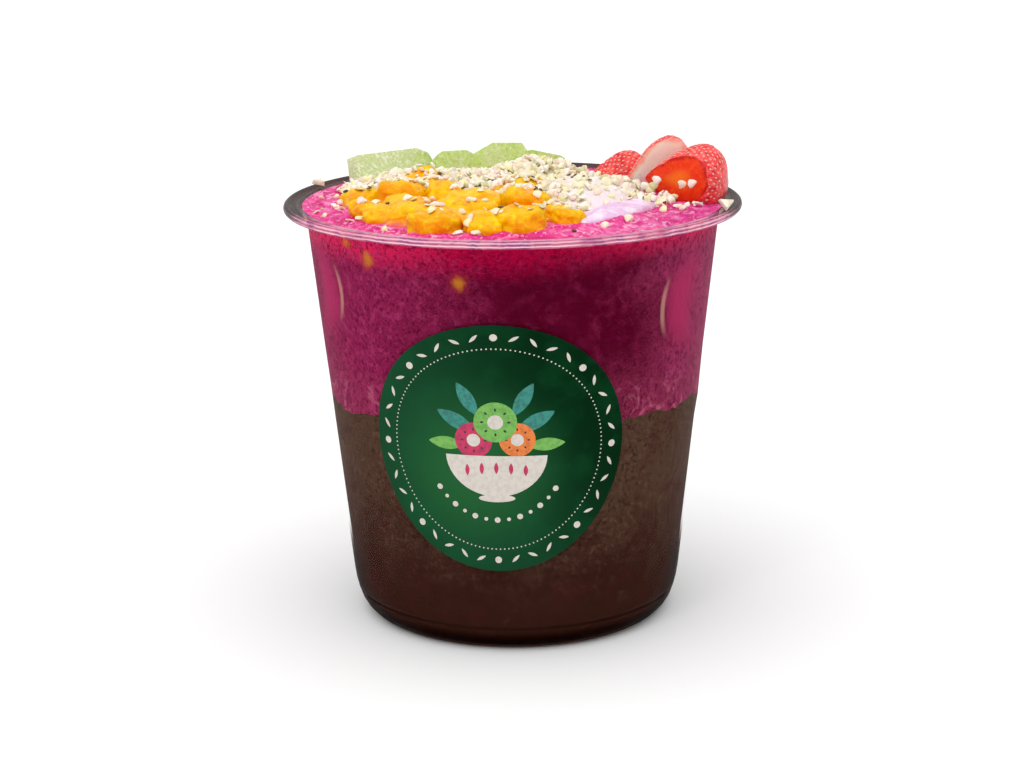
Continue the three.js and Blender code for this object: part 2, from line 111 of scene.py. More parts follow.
class StickerSettings(bpy.types.PropertyGroup):
    radius: number("Radius", 32.2, "Radius of the sticker, in mm")
    green: colour("Green", "042610", "Ground of the sticker, top right")
    green_left: colour("Left green", "16442a", "Ground of the sticker, bottom left")
    green_light: colour("Light green", "266034", "Middle of the sticker")
    ink: colour("Ink", "d2cac0", "White print of the sticker")


class ToppingSettings(bpy.types.PropertyGroup):
    heap_seeds: IntProperty(
        name="Seeds in the heap",
        description="How many hemp seeds lie on the heap",
        default=620,
        min=0,
    )
    mango: colour("Mango", "f4c000", "Ripe mango")
    # Painted shade: the mango chunks take this deeper orange low down and in their hollows; it is also
    # the pulp's own colour.
    mango_orange_and_shade: colour("Deep mango", "ec8206", "Hollows and lower parts of the mango")
    kiwi: colour("Kiwi", "bad06e", "Flesh of the kiwi")
    strawberry: colour("Strawberry", "ff5052", "Skin of the strawberry")
    yoghurt: colour("Yoghurt", "eee6e0", "Thick yoghurt")
    seed: colour("Hemp seed", "f1e8c8", "Shelled hemp seed")
    hull: colour("Hemp hull", "4a4a22", "Green and brown scraps of hull")
    nut: colour("Nut", "f6efdc", "Nut chips")


class StageSettings(bpy.types.PropertyGroup):
    floor: colour("Floor", "fbfbfb", "Pale floor")
    sky: number("Sky", 0.78, "Strength of the even white light from all sides")
    sun: number("Sun", 1.3, "Strength of the wide soft light from above")
    key_power: number("Key light", 0.8, "Power of the small soft light in front", subtype="POWER")


# ---- Shaping, in millimetres


def stream(seed):
    """Repeatable random numbers from 0 to 1."""
    state = seed
    while True:
        state = (state * 1664525 + 1013904223) % 4294967296
        yield state / 4294967296


def placing(at, turn=(0, 0, 0), x=None, z=None):
    """A place and a turn: by angles in degrees, or by where the piece's X and Z axes point."""
    if z is None:
        turned = Euler([math.radians(a) for a in turn], "XYZ").to_matrix()
    else:
        up = Vector(z).normalized()
        side = Vector(x)
        side = (side - up * side.dot(up)).normalized()
        turned = Matrix((side, up.cross(side), up)).transposed()
    return Matrix.Translation(at) @ turned.to_4x4()


def roughen(point, size, seed=0.0, octaves=4):
    """Fractal noise from about -1 to 1 whose largest lumps are of a given size."""
    at = Vector(point) / size + Vector((seed, 2.3 * seed, -1.7 * seed))
    return noise.fractal(at, 0.9, 2.1, octaves, noise_basis="PERLIN_ORIGINAL")


def lathe(points, steps=160, rounded=()):
    """Turns a line of (radius, height) points about Z. It starts on the axis, and the points whose
    numbers are in rounded get a fillet."""
    bm = bmesh.new()
    verts = [bm.verts.new((r, 0, z)) for r, z in points]
    for pair in zip(verts, verts[1:]):
        bm.edges.new(pair)
    if rounded:
        soften(bm, [verts[i] for i in rounded], 0.5, 5, "VERTICES")
    bmesh.ops.spin(
        bm,
        geom=bm.verts[:] + bm.edges[:],
        cent=(0, 0, 0),
        axis=(0, 0, 1),
        angle=2 * math.pi,
        steps=steps,
        use_merge=True,
    )
    bmesh.ops.remove_doubles(bm, verts=bm.verts, dist=1e-4)
    bmesh.ops.recalc_face_normals(bm, faces=bm.faces)
    return bm


def soften(bm, geom, offset, segments, affect="EDGES"):
    """Rounds edges or corners off."""
    bmesh.ops.bevel(
        bm,
        geom=geom,
        offset=offset,
        segments=segments,
        profile=0.5,
        affect=affect,
        material=-1,
        clamp_overlap=True,
    )


def cut(bm, point, normal):
    """Cuts away what lies beyond a plane."""
    geom = bm.verts[:] + bm.edges[:] + bm.faces[:]
    bmesh.ops.bisect_plane(
        bm, geom=geom, dist=1e-4, plane_co=point, plane_no=normal, clear_outer=True
    )


def close(bm):
    """Closes the hole that a cut leaves."""
    bmesh.ops.holes_fill(bm, edges=[e for e in bm.edges if e.is_boundary])


def move(bm, matrix):
    """Moves, turns or stretches a whole shape and hands it back."""
    bmesh.ops.transform(bm, matrix=matrix, verts=bm.verts)
    return bm


def blob(place, sizes, subdivisions=2):
    """An egg of given half sizes at a place."""
    bm = bmesh.new()
    bmesh.ops.create_icosphere(bm, subdivisions=subdivisions, radius=1)
    return move(bm, place @ Matrix.Diagonal((*sizes, 1)))


def map_flat(bm, name, half):
    """Lays a map over a flat piece, seen from above, from its two half sizes."""
    uv = bm.loops.layers.uv.new(name)
    for face in bm.faces:
        for loop in face.loops:
            x, y, _ = loop.vert.co
            loop[uv].uv = (0.5 + 0.5 * x / half[0], 0.5 + 0.5 * y / half[1])


def circling(radius, angle, middle=(0, 0)):
    """The point of a circle at an angle."""
    return (middle[0] + radius * math.cos(angle), middle[1] + radius * math.sin(angle))


def joined(target, part, slot=None):
    """Adds one bmesh to another and frees it."""
    if slot is not None:
        for face in part.faces:
            face.material_index = slot
    mesh = bpy.data.meshes.new("part")
    part.to_mesh(mesh)
    part.free()
    target.from_mesh(mesh)
    bpy.data.meshes.remove(mesh)


def finish_piece(bm, name, materials, stands_for=(), sharp=0):
    """Writes a bmesh as a piece of the part: in metres, smooth, riding on the one body."""
    bmesh.ops.scale(bm, vec=(MM, MM, MM), verts=bm.verts)
    mesh = bpy.data.meshes.new(name)
    bm.to_mesh(mesh)
    bm.free()
    for surface in materials:
        mesh.materials.append(surface)
    mesh.shade_smooth()
    if sharp:
        mesh.set_sharp_from_angle(angle=math.radians(sharp))
    obj = bpy.data.objects.new(name, mesh)
    bpy.context.scene.collection.objects.link(obj)
    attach(obj, "root")
    if stands_for:
        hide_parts(*stands_for)


# ---- Materials


class Look:
    """A material and its node tree, with short ways to add nodes and join them."""

    def __init__(self, name, base, roughness, **settings):
        self.material = bpy.data.materials.new(name)
        self.material.use_nodes = True
        self.tree = self.material.node_tree
        self.shader = self.tree.nodes["Principled BSDF"]
        self.shader.inputs["Base Color"].default_value = paint(base)
        self.shader.inputs["Roughness"].default_value = roughness
        for key, value in settings.items():
            self.shader.inputs[key.replace("_", " ")].default_value = value
        coordinates = self.tree.nodes.new("ShaderNodeTexCoord").outputs
        self.spot, self.map = coordinates["Object"], coordinates["UV"]

    def add(self, kind, inputs=(), **settings):
        node = self.tree.nodes.new("ShaderNode" + kind)
        for key, value in settings.items():
            setattr(node, key, value)
        for key, value in dict(inputs).items():
            socket = node.inputs[key]
            if isinstance(value, bpy.types.NodeSocket):
                self.tree.links.new(value, socket)
            else:
                socket.default_value = value
        return node

    def maths(self, operation, a, b=0.0, c=0.0):
        return self.add("Math", {0: a, 1: b, 2: c}, operation=operation).outputs[0]

    def plus(self, a, b):
        return self.maths("ADD", a, b)

    def minus(self, a, b):
        return self.maths("SUBTRACT", a, b)

    def times(self, a, b):
        return self.maths("MULTIPLY", a, b)

    def axes(self, vector=None):
        """X, Y and Z of a vector, or of the point in metres."""
        return self.add("SeparateXYZ", {0: vector or self.spot}).outputs

    def reach(self, x, y):
        """Distance from an axis, from its two parts."""
        flat = self.add("CombineXYZ", {0: x, 1: y}).outputs[0]
        return self.add("VectorMath", {0: flat}, operation="LENGTH").outputs["Value"]

    def away_from(self, x, y):
        """The two parts of the way to a place on the piece's map."""
        way = self.add("VectorMath", {0: self.map, 1: (x, y, 0)}, operation="SUBTRACT")
        return self.axes(way.outputs[0])[:2]

    def scaled(self, vector, scale):
        return self.add("Mapping", {"Vector": vector, "Scale": scale}).outputs[0]

    def texture(self, vector, scale, detail, roughness=0.5, distortion=0.0):
        """Noise from 0 to 1 on given coordinates."""
        inputs = {"Vector": vector, "Scale": scale, "Detail": detail}
        inputs |= {"Roughness": roughness, "Distortion": distortion}
        return self.add("TexNoise", inputs).outputs["Fac"]

    def noise(self, size, detail, distortion=0.0, vector=None):
        """Noise from 0 to 1 with lumps of a given size in mm."""
        return self.texture(vector or self.spot, 1 / (size * MM), detail, 0.55, distortion)

    def drift(self, swing, *lumps):
        """Noise that swings to both sides of 0."""
        return self.maths("MULTIPLY_ADD", self.noise(*lumps), swing, -swing / 2)

    def cells(self, size):
        """Distance from the middles of cells of a given size in mm."""
        inputs = {"Vector": self.spot, "Scale": 1 / (size * MM)}
        return self.add("TexVoronoi", inputs).outputs["Distance"]

    def ramp(self, value, low, high):
        """0 under low and 1 over high, smooth between. It falls where low is over high."""
        inputs = {"Value": value, "From Min": low, "From Max": high}
        return self.add("MapRange", inputs, interpolation_type="SMOOTHSTEP").outputs["Result"]

    def band(self, value, middle, width):
        """1 in the middle of a band, falling to 0 at its edges."""
        away = self.maths("ABSOLUTE", self.minus(value, middle))
        return self.ramp(away, width, 0.2 * width)

    def mix(self, share, a, b):
        """Colour a, with colour b laid over it by a share."""
        inputs = {0: share, 6: paint(a), 7: paint(b)}
        return self.add("Mix", inputs, data_type="RGBA").outputs[2]

    def layered(self, body, *layers):
        """Lays colours over a body. Of each: the colour, the most of it, a value or the size, detail and
        distortion of noise, and where in the value the colour starts and is full."""
        for other, share, value, start, full in layers:
            if isinstance(value, tuple):
                value = self.noise(*value)
            body = self.mix(self.times(self.ramp(value, start, full), share), body, other)
        return body

    def blend(self, share, a, b):
        """Shader a, with shader b over it by a share."""
        return self.add("MixShader", {0: share, 1: a.outputs[0], 2: b.outputs[0]})

    def finish(self, body, *reliefs):
        """Joins the colour and the relief, each layer of it a height and its depth in mm."""
        normal = None
        for height, depth in reliefs:
            inputs = {"Height": height, "Strength": 1.0, "Distance": depth * MM}
            if normal:
                inputs["Normal"] = normal
            normal = self.add("Bump", inputs).outputs[0]
        self.tree.links.new(body, self.shader.inputs["Base Color"])
        self.tree.links.new(normal, self.shader.inputs["Normal"])
        return self.material


def clear_plastic(cup):
    """Thin clear plastic: clear on the wall; where the rim turns over, a painted dark grey shade, darker
    at its grazing edges, for the dark surroundings seen through it, except in front, where it is left
    clear and lighter and the pink fill shines through; with pale painted highlight lines along the bead."""
    look = Look("clear_plastic", (1, 1, 1), 0.05)
    x, y, z = look.axes()
    across = look.reach(x, y)
    rim = look.ramp(across, 53.3 * MM, 54.5 * MM)
    front = look.plus(y, look.times(look.noise(9, 2), 8 * MM))
    front = look.ramp(front, -12 * MM, -27 * MM)
    facing = look.add("LayerWeight", {"Blend": 0.5}).outputs["Facing"]
    edge = look.times(look.ramp(facing, 0.45, 0.95), 0.7)
    # Painted shade: the rim is tinted dark grey at the sides and back, and darker still at its grazing
    # edges, for the dark surroundings seen through it; in front it is left clear and lighter.
    rim_shade = look.mix(front, cup.rim_shade, cup.clear)
    shade = look.mix(front, tuple(0.45 * c for c in cup.rim_shade), "c8748c")
    grazing = look.ramp(facing, 0.6, 0.9)
    tint = look.mix(rim, (0.99, 0.99, 0.99), look.mix(edge, rim_shade, shade))
    tint = look.layered(
        tint,
        ("96705e", 1.0, z, 6 * MM, 2 * MM),
        ("5a3c32", grazing, z, 24 * MM, 14 * MM),
    )
    clear = look.add("BsdfTransparent", {"Color": tint})
    mirror = look.add("BsdfGlossy", {"Color": (1, 1, 1, 1), "Roughness": 0.08})
    sheen = look.times(look.maths("POWER", facing, 5.0), look.maths("MULTIPLY_ADD", rim, 0.2, 0.1))
    sheen = look.plus(look.maths("MULTIPLY_ADD", rim, 0.015, 0.001), sheen)
    surface = look.blend(sheen, clear, mirror)

    hue = look.mix(look.ramp(look.noise(5, 4, 1.2), 0.4, 0.6), "a85a94", "e892ae")
    veil = look.add("BsdfDiffuse", {"Color": hue})
    thick = look.times(look.times(rim, front), look.ramp(z, 105.5 * MM, 106.5 * MM))
    surface = look.blend(look.times(thick, 0.45), surface, veil)

    # Painted highlights: pale lines of light along the bead and the inner lip, laid in as a pale diffuse
    # shader, brightest in front.
    turn = look.maths("ARCTAN2", look.minus(z, 107.45 * MM), look.minus(across, 57.65 * MM))
    turn = look.plus(turn, look.times(look.noise(4, 3, 1.0), 0.5))
    lip = look.times(look.band(across, 55.0 * MM, 0.6 * MM), 0.45)
    line = look.times(lip, look.ramp(z, 107.5 * MM, 107.9 * MM))
    for middle, width, share in ((0.8, 0.34, 0.75), (-0.1, 0.3, 1.0), (1.65, 0.16, 0.6)):
        gleam = look.times(look.band(turn, middle, width), share)
        line = look.maths("MAXIMUM", line, gleam)
    line = look.times(line, look.maths("MULTIPLY_ADD", front, 0.72, 0.12))
    line = look.times(line, look.ramp(look.noise(11, 3, 0.5), 0.2, 0.6))
    light = look.add("BsdfDiffuse", {"Color": paint("fcd4e6")})
    surface = look.blend(line, surface, light)
    end = look.tree.nodes["Material Output"].inputs["Surface"]
    look.tree.links.new(surface.outputs[0], end)
    look.tree.nodes.remove(look.shader)
    return look.material


def pink_wall(fill):
    """The pink layer seen through the wall: uneven, with painted light paler to the left and at the far
    right and painted shade deeper right of the middle, a painted glow of light under the rim, full of
    fine dark specks, with bits of mango and two pale curved marks."""
    look = Look("pink_wall", fill.pink, 0.6, Specular_IOR_Level=0.0)
    x, y, z = look.axes()
    drift = look.drift(26 * MM, 22, 3, 0.5)
    sideways = look.plus(x, drift)
    level = look.plus(z, look.times(drift, 0.15))
    level = look.minus(level, look.times(look.ramp(x, 0, 45 * MM), 3.5 * MM))
    aside = look.ramp(look.maths("ABSOLUTE", x), 8 * MM, 42 * MM)
    wisps = look.times(look.ramp(z, 72 * MM, 63 * MM), 0.4)
    # Painted light: left and right mark the paler, lit left side and far right edge of the wall.
    left, right = look.ramp(sideways, 6 * MM, -30 * MM), look.ramp(sideways, 26 * MM, 46 * MM)
    light = look.maths("MULTIPLY_ADD", look.maths("MAXIMUM", left, right), 0.85, 0.15)
    side = look.layered(
        fill.pink,
        # Painted shade deeper right of the middle, then painted light paler crimson at the far right.
        (fill.pink_shaded, 1.0, sideways, -40 * MM, 8 * MM),
        ("a83a66", 0.7, sideways, 22 * MM, 50 * MM),
        ("8a2f4e", 0.6, look.plus(z, drift), 78 * MM, 58 * MM),
        ("cc7a90", wisps, (6, 4, 1.6), 0.52, 0.68),
        # Painted light: a glow of brighter pink under the rim, brightest at the sides.
        (look.mix(aside, "b4063e", "ec2a60"), 0.85, level, 96 * MM, 105 * MM),
        ("9c2a58", 0.3, (6, 4, 0.8), 0.5, 0.75),
        # Painted light: the pale specks show more on the lit sides.
        ("b43e74", look.times(light, 0.28), (2.4, 3, 0.3), 0.51, 0.65),
        ("4e0628", 0.4, (1.6, 3, 0.3), 0.51, 0.65),
        ("420420", 0.6, (0.9, 3, 0.3), 0.51, 0.65),
        ("b05078", 0.18, look.cells(1.5), 0.16, 0.05),
    )
    for spot, size in (
        ((-35.9, -38.8, 100.5), 5.0),
        ((-41.0, -34.0, 103.5), 4.2),
        ((-13.2, -50.7, 96.8), 4.6),
    ):
        spot = tuple(c * MM for c in spot)
        away = look.add("VectorMath", {0: look.spot, 1: spot}, operation="DISTANCE").outputs["Value"]
        torn = look.plus(away, look.times(look.noise(2.4, 4), 4.5 * MM))
        side = look.layered(
            side,
            ("c0401c", 0.5, torn, (size + 1.4) * MM, 1.8 * MM),
            ("c8901c", 0.6, torn, size * MM, 1.8 * MM),
        )
    angle = look.maths("ARCTAN2", y, x)
    # Of each pale curved mark: its turn, height and bow, and to which side the pink beside it is
    # brighter.
    for middle, height, bow, out in ((-146.2, 90.0, -0.045, -1), (-44.2, 87.1, 0.036, 1)):
        off = look.minus(z, height * MM)
        bent = look.times(look.times(off, off), math.radians(bow) / MM**2)
        beside = look.minus(look.minus(angle, math.radians(middle)), bent)
        glow = look.times(look.band(beside, math.radians(8 * out), math.radians(9)), 0.6)
        pale = look.times(look.band(beside, 0.0, math.radians(1.3)), 0.5)
        off = look.maths("ABSOLUTE", off)
        side = look.layered(
            side,
            ("b42e60", glow, off, 16 * MM, 4 * MM),
            ("d0a08c", pale, off, 9 * MM, 2 * MM),
        )
    return look.finish(side, (look.noise(1.2, 2), 0.03))


def pink_top(fill):
    """The open top of the pink layer: wet, smeared, with streaks of pale foam and deeper hollows."""
    look = Look("pink_top", fill.pink_top, 0.4, Specular_IOR_Level=0.08)
    smeared = look.scaled(look.spot, (0.8, 0.4, 1))
    swirl, fine = look.noise(5, 4, 2.2, smeared), look.noise(1.6, 3, 1.5, smeared)
    top = look.layered(
        fill.pink_top,
        ("c30a66", 0.8, swirl, 0.5, 0.36),
        (fill.pink_foam, 0.7, swirl, 0.52, 0.62),
        ("fbc3dc", 0.7, fine, 0.55, 0.65),
        ("cf1676", 0.6, fine, 0.44, 0.34),
        ("b8488a", 0.35, look.axes()[0], 15 * MM, 50 * MM),
    )
    return look.finish(top, (fine, 0.5), (swirl, 1.2))


def dark_blend(fill):
    """Blended acai: dark brown, paler upwards, with redder patches and fine specks."""
    look = Look("dark_blend", fill.dark, 0.6, Specular_IOR_Level=0.0)
    z = look.axes()[2]
    level = look.plus(z, look.drift(36 * MM, 15, 4, 0.6))
    upwards = look.ramp(z, 8 * MM, 34 * MM)
    body = look.layered(
        fill.dark,
        (fill.dark_pale, 1.0, level, 14 * MM, 46 * MM),
        ("3f1a18", 0.5, (8, 4, 0.8), 0.48, 0.7),
        ("5c4436", 0.25, (3.2, 3, 0.8), 0.56, 0.76),
        ("7c6050", look.times(upwards, 0.17), (1.5, 3, 0.3), 0.52, 0.66),
        ("1d0c09", look.times(upwards, 0.6), (0.9, 3, 0.3), 0.52, 0.66),
        ("7a5c4c", 0.15, look.cells(1.8), 0.16, 0.05),
        # Painted shade: darker towards the bottom, at the foot.
        ("301008", 0.5, z, 7 * MM, 2 * MM),
    )
    # Painted shade: a dark line along the foot's groove.
    groove = look.times(look.band(z, 6.3 * MM, 0.7 * MM), 0.6)
    return look.finish(look.mix(groove, body, "1e0d07"), (look.noise(1.2, 4), 0.12))


def mango_flesh(toppings):
    """Ripe mango: yellow on top, with painted shade more orange lower down and in its hollows, with
    bright yellow patches and grains that are partly painted highlights, wet and finely fibrous.
    """
    sheen = dict(Specular_IOR_Level=0.1, Coat_Weight=0.06, Coat_Roughness=0.12)
    soft = dict(Subsurface_Weight=0.1, Subsurface_Scale=0.002, Subsurface_Radius=(1.0, 0.5, 0.1))
    look = Look("mango_flesh", toppings.mango, 0.3, **sheen, **soft)
    level = look.plus(look.axes()[2], look.drift(8 * MM, 5, 3, 0.6))
    fibres = look.noise(1.5, 3, 0.3, look.scaled(look.spot, (0.4, 1.5, 1.2)))
    grain = look.noise(0.8, 2)
    body = look.layered(
        toppings.mango,
        ("f79e00", 1.0, (8, 3, 0.8), 0.44, 0.6),
        # Partly painted highlights: bright yellow patches, in part the flesh's own tone.
        ("ffdc0a", 0.6, (3.2, 3, 0.6), 0.54, 0.66),
        # Painted shade: more orange lower down and in the hollows.
        (toppings.mango_orange_and_shade, 0.85, level, 109.6 * MM, 107.0 * MM),
        ("fcd20c", 0.35, fibres, 0.52, 0.68),
        # Painted glints: the bright grains stand for small sparkles on the wet flesh; the dark grains are
        # its own texture.
        ("fce020", 0.3, grain, 0.56, 0.66),
        ("d88800", 0.3, grain, 0.42, 0.3),
    )
    return look.finish(body, (fibres, 0.25), (grain, 0.1))


def mango_pulp(toppings):
    """Crushed mango and juice between the chunks, stained pink where it meets the fill."""
    look = Look("mango_pulp", toppings.mango_orange_and_shade, 0.25, Specular_IOR_Level=0.12)
    level = look.plus(look.axes()[2], look.drift(3 * MM, 3, 4, 0.9))
    body = look.layered(
        toppings.mango_orange_and_shade,
        ("e8705c", 1.0, level, 109.2 * MM, 108.2 * MM),
        (toppings.mango, 0.5, (1.6, 3), 0.5, 0.68),
    )
    return look.finish(body, (look.noise(1.1, 4), 0.5))


def kiwi_flesh(toppings):
    """Kiwi in slices: pale veins run out from a cream core, laid out on the slice's own map, under a
    frost of fine pale grains."""
    soft = dict(Subsurface_Weight=0.15, Subsurface_Scale=0.002, Subsurface_Radius=(0.6, 1.0, 0.3))
    look = Look("kiwi_flesh", toppings.kiwi, 0.4, Specular_IOR_Level=0.15, **soft)
    across, up = look.away_from(0.5, 0.5)
    out = look.times(look.reach(across, up), 2.0)
    angle = look.maths("ARCTAN2", up, across)
    polar = look.add("CombineXYZ", {0: look.times(angle, 5.0), 1: look.times(out, 1.2)})
    veins = look.texture(polar.outputs[0], 3.0, 3.0, 0.6)
    x = look.axes()[0]
    frost = look.maths("MULTIPLY_ADD", look.ramp(x, -20 * MM, -34 * MM), 0.5, 0.25)
    flesh = look.layered(
        toppings.kiwi,
        ("d3dca0", 0.55, veins, 0.44, 0.64),
        ("ced2a0", 0.5, (5, 3, 0.5), 0.45, 0.65),
        ("9ab354", 0.5, (1.0, 3), 0.5, 0.68),
        ("dfe6c0", 0.45, x, -20 * MM, -34 * MM),
        ("f2f4dc", frost, (0.8, 2), 0.52, 0.62),
        ("e6e8c4", 1.0, out, 0.34, 0.2),
        ("a3ba5e", 0.4, out, 0.88, 1.0),
    )
    return look.finish(flesh, (veins, 0.2), (look.noise(0.7, 3), 0.25))


def strawberry_skin(toppings):
    """Red skin, mottled, with paler and deeper spots."""
    sheen = dict(Specular_IOR_Level=0.15, Coat_Weight=0.1, Coat_Roughness=0.2)
    soft = dict(Subsurface_Weight=0.1, Subsurface_Scale=0.0015, Subsurface_Radius=(1.0, 0.2, 0.1))
    look = Look("strawberry_skin", toppings.strawberry, 0.35, **sheen, **soft)
    body = look.layered(
        toppings.strawberry,
        ("d82c34", 1.0, (3.5, 3, 0.4), 0.42, 0.66),
        ("f08c88", 0.5, (0.9, 3), 0.5, 0.62),
        ("b01020", 0.6, (1.1, 2), 0.44, 0.34),
    )
    return look.finish(body, (look.noise(0.8, 3), 0.2))


def strawberry_flesh(name, middle, between, edge, edge_from, milky):
    """A cut face, from its middle to its edge, that lets through some light when it is milky. Its map
    runs round the face in U and from the middle to the skin in V."""
    sheen = dict(Specular_IOR_Level=0.15, Coat_Weight=0.08, Coat_Roughness=0.2)
    soft = dict(Subsurface_Weight=milky, Subsurface_Scale=0.004, Subsurface_Radius=(1.0, 0.5, 0.35))
    look = Look(name, between, 0.35, **sheen, **soft)
    out = look.plus(look.axes(look.map)[1], look.drift(0.4, 4.5, 3, 0.4))
    rays = look.texture(look.scaled(look.map, (30, 1.2, 1)), 1.0, 2.0)
    face = look.layered(
        middle,
        (between, 1.0, out, 0.08, 0.6),
        (edge, 1.0, out, edge_from, 1.0),
        (middle, 0.2, rays, 0.5, 0.7),
        (middle, 0.3, (1.0, 3), 0.52, 0.68),
    )
    return look.finish(face, (rays, 0.1), (look.noise(0.9, 3), 0.18))


def plain_look(name, base, other, size, roughness, depth, **settings):
    """A mottled surface of two colours with fine relief."""
    look = Look(name, base, roughness, **settings)
    body = look.layered(base, (other, 1.0, (size, 3, 0.3), 0.4, 0.66))
    return look.finish(body, (look.noise(size * 0.4, 4), depth))


def seed_look(toppings):
    """Shelled hemp seed: each seed its own shade from white through cream to straw and pale green."""
    look = Look("hemp_seed", toppings.seed, 0.5, Specular_IOR_Level=0.35)
    shade = look.add("Attribute", attribute_name="shade").outputs["Fac"]
    body = look.layered(
        "f8f2e8",
        (toppings.seed, 1.0, shade, 0.2, 0.4),
        ("f3dccd", 1.0, shade, 0.6, 0.68),
        ("f2ecb8", 1.0, shade, 0.78, 0.84),
        ("d2cda0", 1.0, shade, 0.94, 0.97),
        ("d2bd8c", 0.35, (1.1, 3, 0.4), 0.54, 0.68),
    )
    return look.finish(body, (look.noise(0.5, 3), 0.08))


def sticker_ground(sticker):
    """Printed paper: green, lighter towards the middle and deeper to the top right."""
    look = Look("sticker_ground", sticker.green, 0.45, Specular_IOR_Level=0.01)
    x, y, _ = look.axes(look.map)
    corner = look.maths("MULTIPLY_ADD", y, 0.6, x)
    out = look.reach(*look.away_from(0.42, 0.42))
    body = look.layered(
        sticker.green,
        (sticker.green_left, 1.0, corner, 1.3, 0.5),
        (sticker.green_light, 0.85, out, 0.42, 0.05),
        ("146038", 0.15, (9, 3, 0.4), 0.45, 0.7),
    )
    return look.finish(body, (look.noise(0.5, 3), 0.02))


# ---- Cup


FOOT_CURVE = ((0, 37.4), (1.2, 38.9), (3.5, 41.0), (6.7, 42.15), (10, 42.85), (15, 43.4))


def outside(z):
    """Radius of the cup's outer wall at a height."""
    if z >= STRAIGHT_FROM:
        return WALL_RADIUS - WALL_TAPER * (WALL_LEVEL - z)
    steps = (*FOOT_CURVE, (STRAIGHT_FROM, outside(STRAIGHT_FROM)))
    for (z0, r0), (z1, r1) in zip(steps, steps[1:]):
        if z <= z1:
            return r0 + (r1 - r0) * (z - z0) / (z1 - z0)


NECK, BEAD = 105, 1.05  # where the wall turns out to the rim, and the radius of the rim's bead
ROUNDED = (2, 3, 18)  # points of the profile that get a fillet


def cup_profile(cup):
    """The cup's section from the middle underneath, up the outside, over the rim and down inside."""
    top, wall = cup.height, cup.wall
    points = [(0, 1.2), (32.4, 1.2), (33.6, 0.0), (37.2, 0.0), (38.9, 1.0), (40.3, 2.5)]
    points += [(41.2, 4.0), (41.9, 6.0), (42.05, 6.35), (41.75, 6.7), (42.2, 7.05), (42.6, 8.6)]
    points += [(outside(z), z) for z in (11, 15, 20, 50, 80, 103.5)]
    neck = outside(NECK)
    points += [(neck + 0.15, 105.2), (neck + 0.7, 106.3), (neck + 1.7, 106.9), (55.9, 107.0)]
    middle = (cup.rim_radius - BEAD, top - BEAD)
    for a in (-90, -60, -30, 0, 30, 60, 90, 115, 140):
        points.append(circling(BEAD, math.radians(a), middle))
    points += [(56.3, top - 0.75), (55.6, top - 0.62), (55.0, top - 0.42)]
    points += [(54.4, top - 0.45), (53.8, top - 0.8), (53.1, top - 1.6)]
    points += [(outside(z) - wall, z) for z in (NECK, 80, 50, 20, 15, 10, 6.4)]
    return points + [(40.3, 4.4), (37.6, 2.7), (35.2, 2.1), (0, 2.1)]


class ACAI_OT_cup(bpy.types.Operator):
    """Make the clear cup: its foot with a groove, tapered wall and rolled rim"""

    bl_idname = "acai.cup"
    bl_label = "Cup"

    def execute(self, context):
        cup = context.scene.acai_cup
        bm = lathe(cup_profile(cup), steps=192, rounded=ROUNDED)
        finish_piece(bm, "clear_cup", [clear_plastic(cup)], ("cup",), sharp=60)
        return {"FINISHED"}


# ---- The two layers


def border_level(x, y):
    """Where the dark layer meets the pink one."""
    angle, out = math.atan2(y, x), math.hypot(x, y) / 48
    wave = sum(
        height * math.cos(count * angle + shift)
        for height, count, shift in ((0.6, 2, -1.77), (1.3, 5, -2.84), (0.85, 9, 2.86), (0.46, 13, -2.16))
    )
    inner = 1.1 * (1 - out * out) * math.sin(0.11 * x + 0.6) * math.cos(0.09 * y)
    return BORDER + wave * min(1, out) ** 3 + inner


def fill_level(x, y):
    """The open top of the pink layer."""
    out = min(1, math.hypot(x, y) / 52)
    swell = 0.4 * math.sin(0.19 * x + 0.13 * y) + 0.3 * math.sin(0.31 * y - 0.12 * x + 1.1)
    return TOP_LEVEL + 0.9 * (1 - out**2.4) + (1 - out**6) * swell


def ragged(x, y):
    """The fine raggedness of the border where it shows at the wall."""
    out = min(1, math.hypot(x, y) / 46)
    return out**6 * (roughen((x, y, 0), 4.5, 3.1) + 0.5 * roughen((x, y, 0), 1.6, 7.7))


def rows(start, end, step):
    """Radii from one to the other in even steps."""
    count = max(1, round(abs(end - start) / step))
    return [start + (end - start) * i / count for i in range(count + 1)]


INTO_WALL = 0.3  # how far the layers reach into the wall, so that no air shows
TOP_LEVEL, TOP_EDGE = 107.6, 53.9  # height and radius of the edge of the open top
LOW, HIGH = 50, 120  # stand for the border and the open top until their heights are set
AROUND, RING = 320, 0.8  # steps round the layers, and the width of the rings of their border


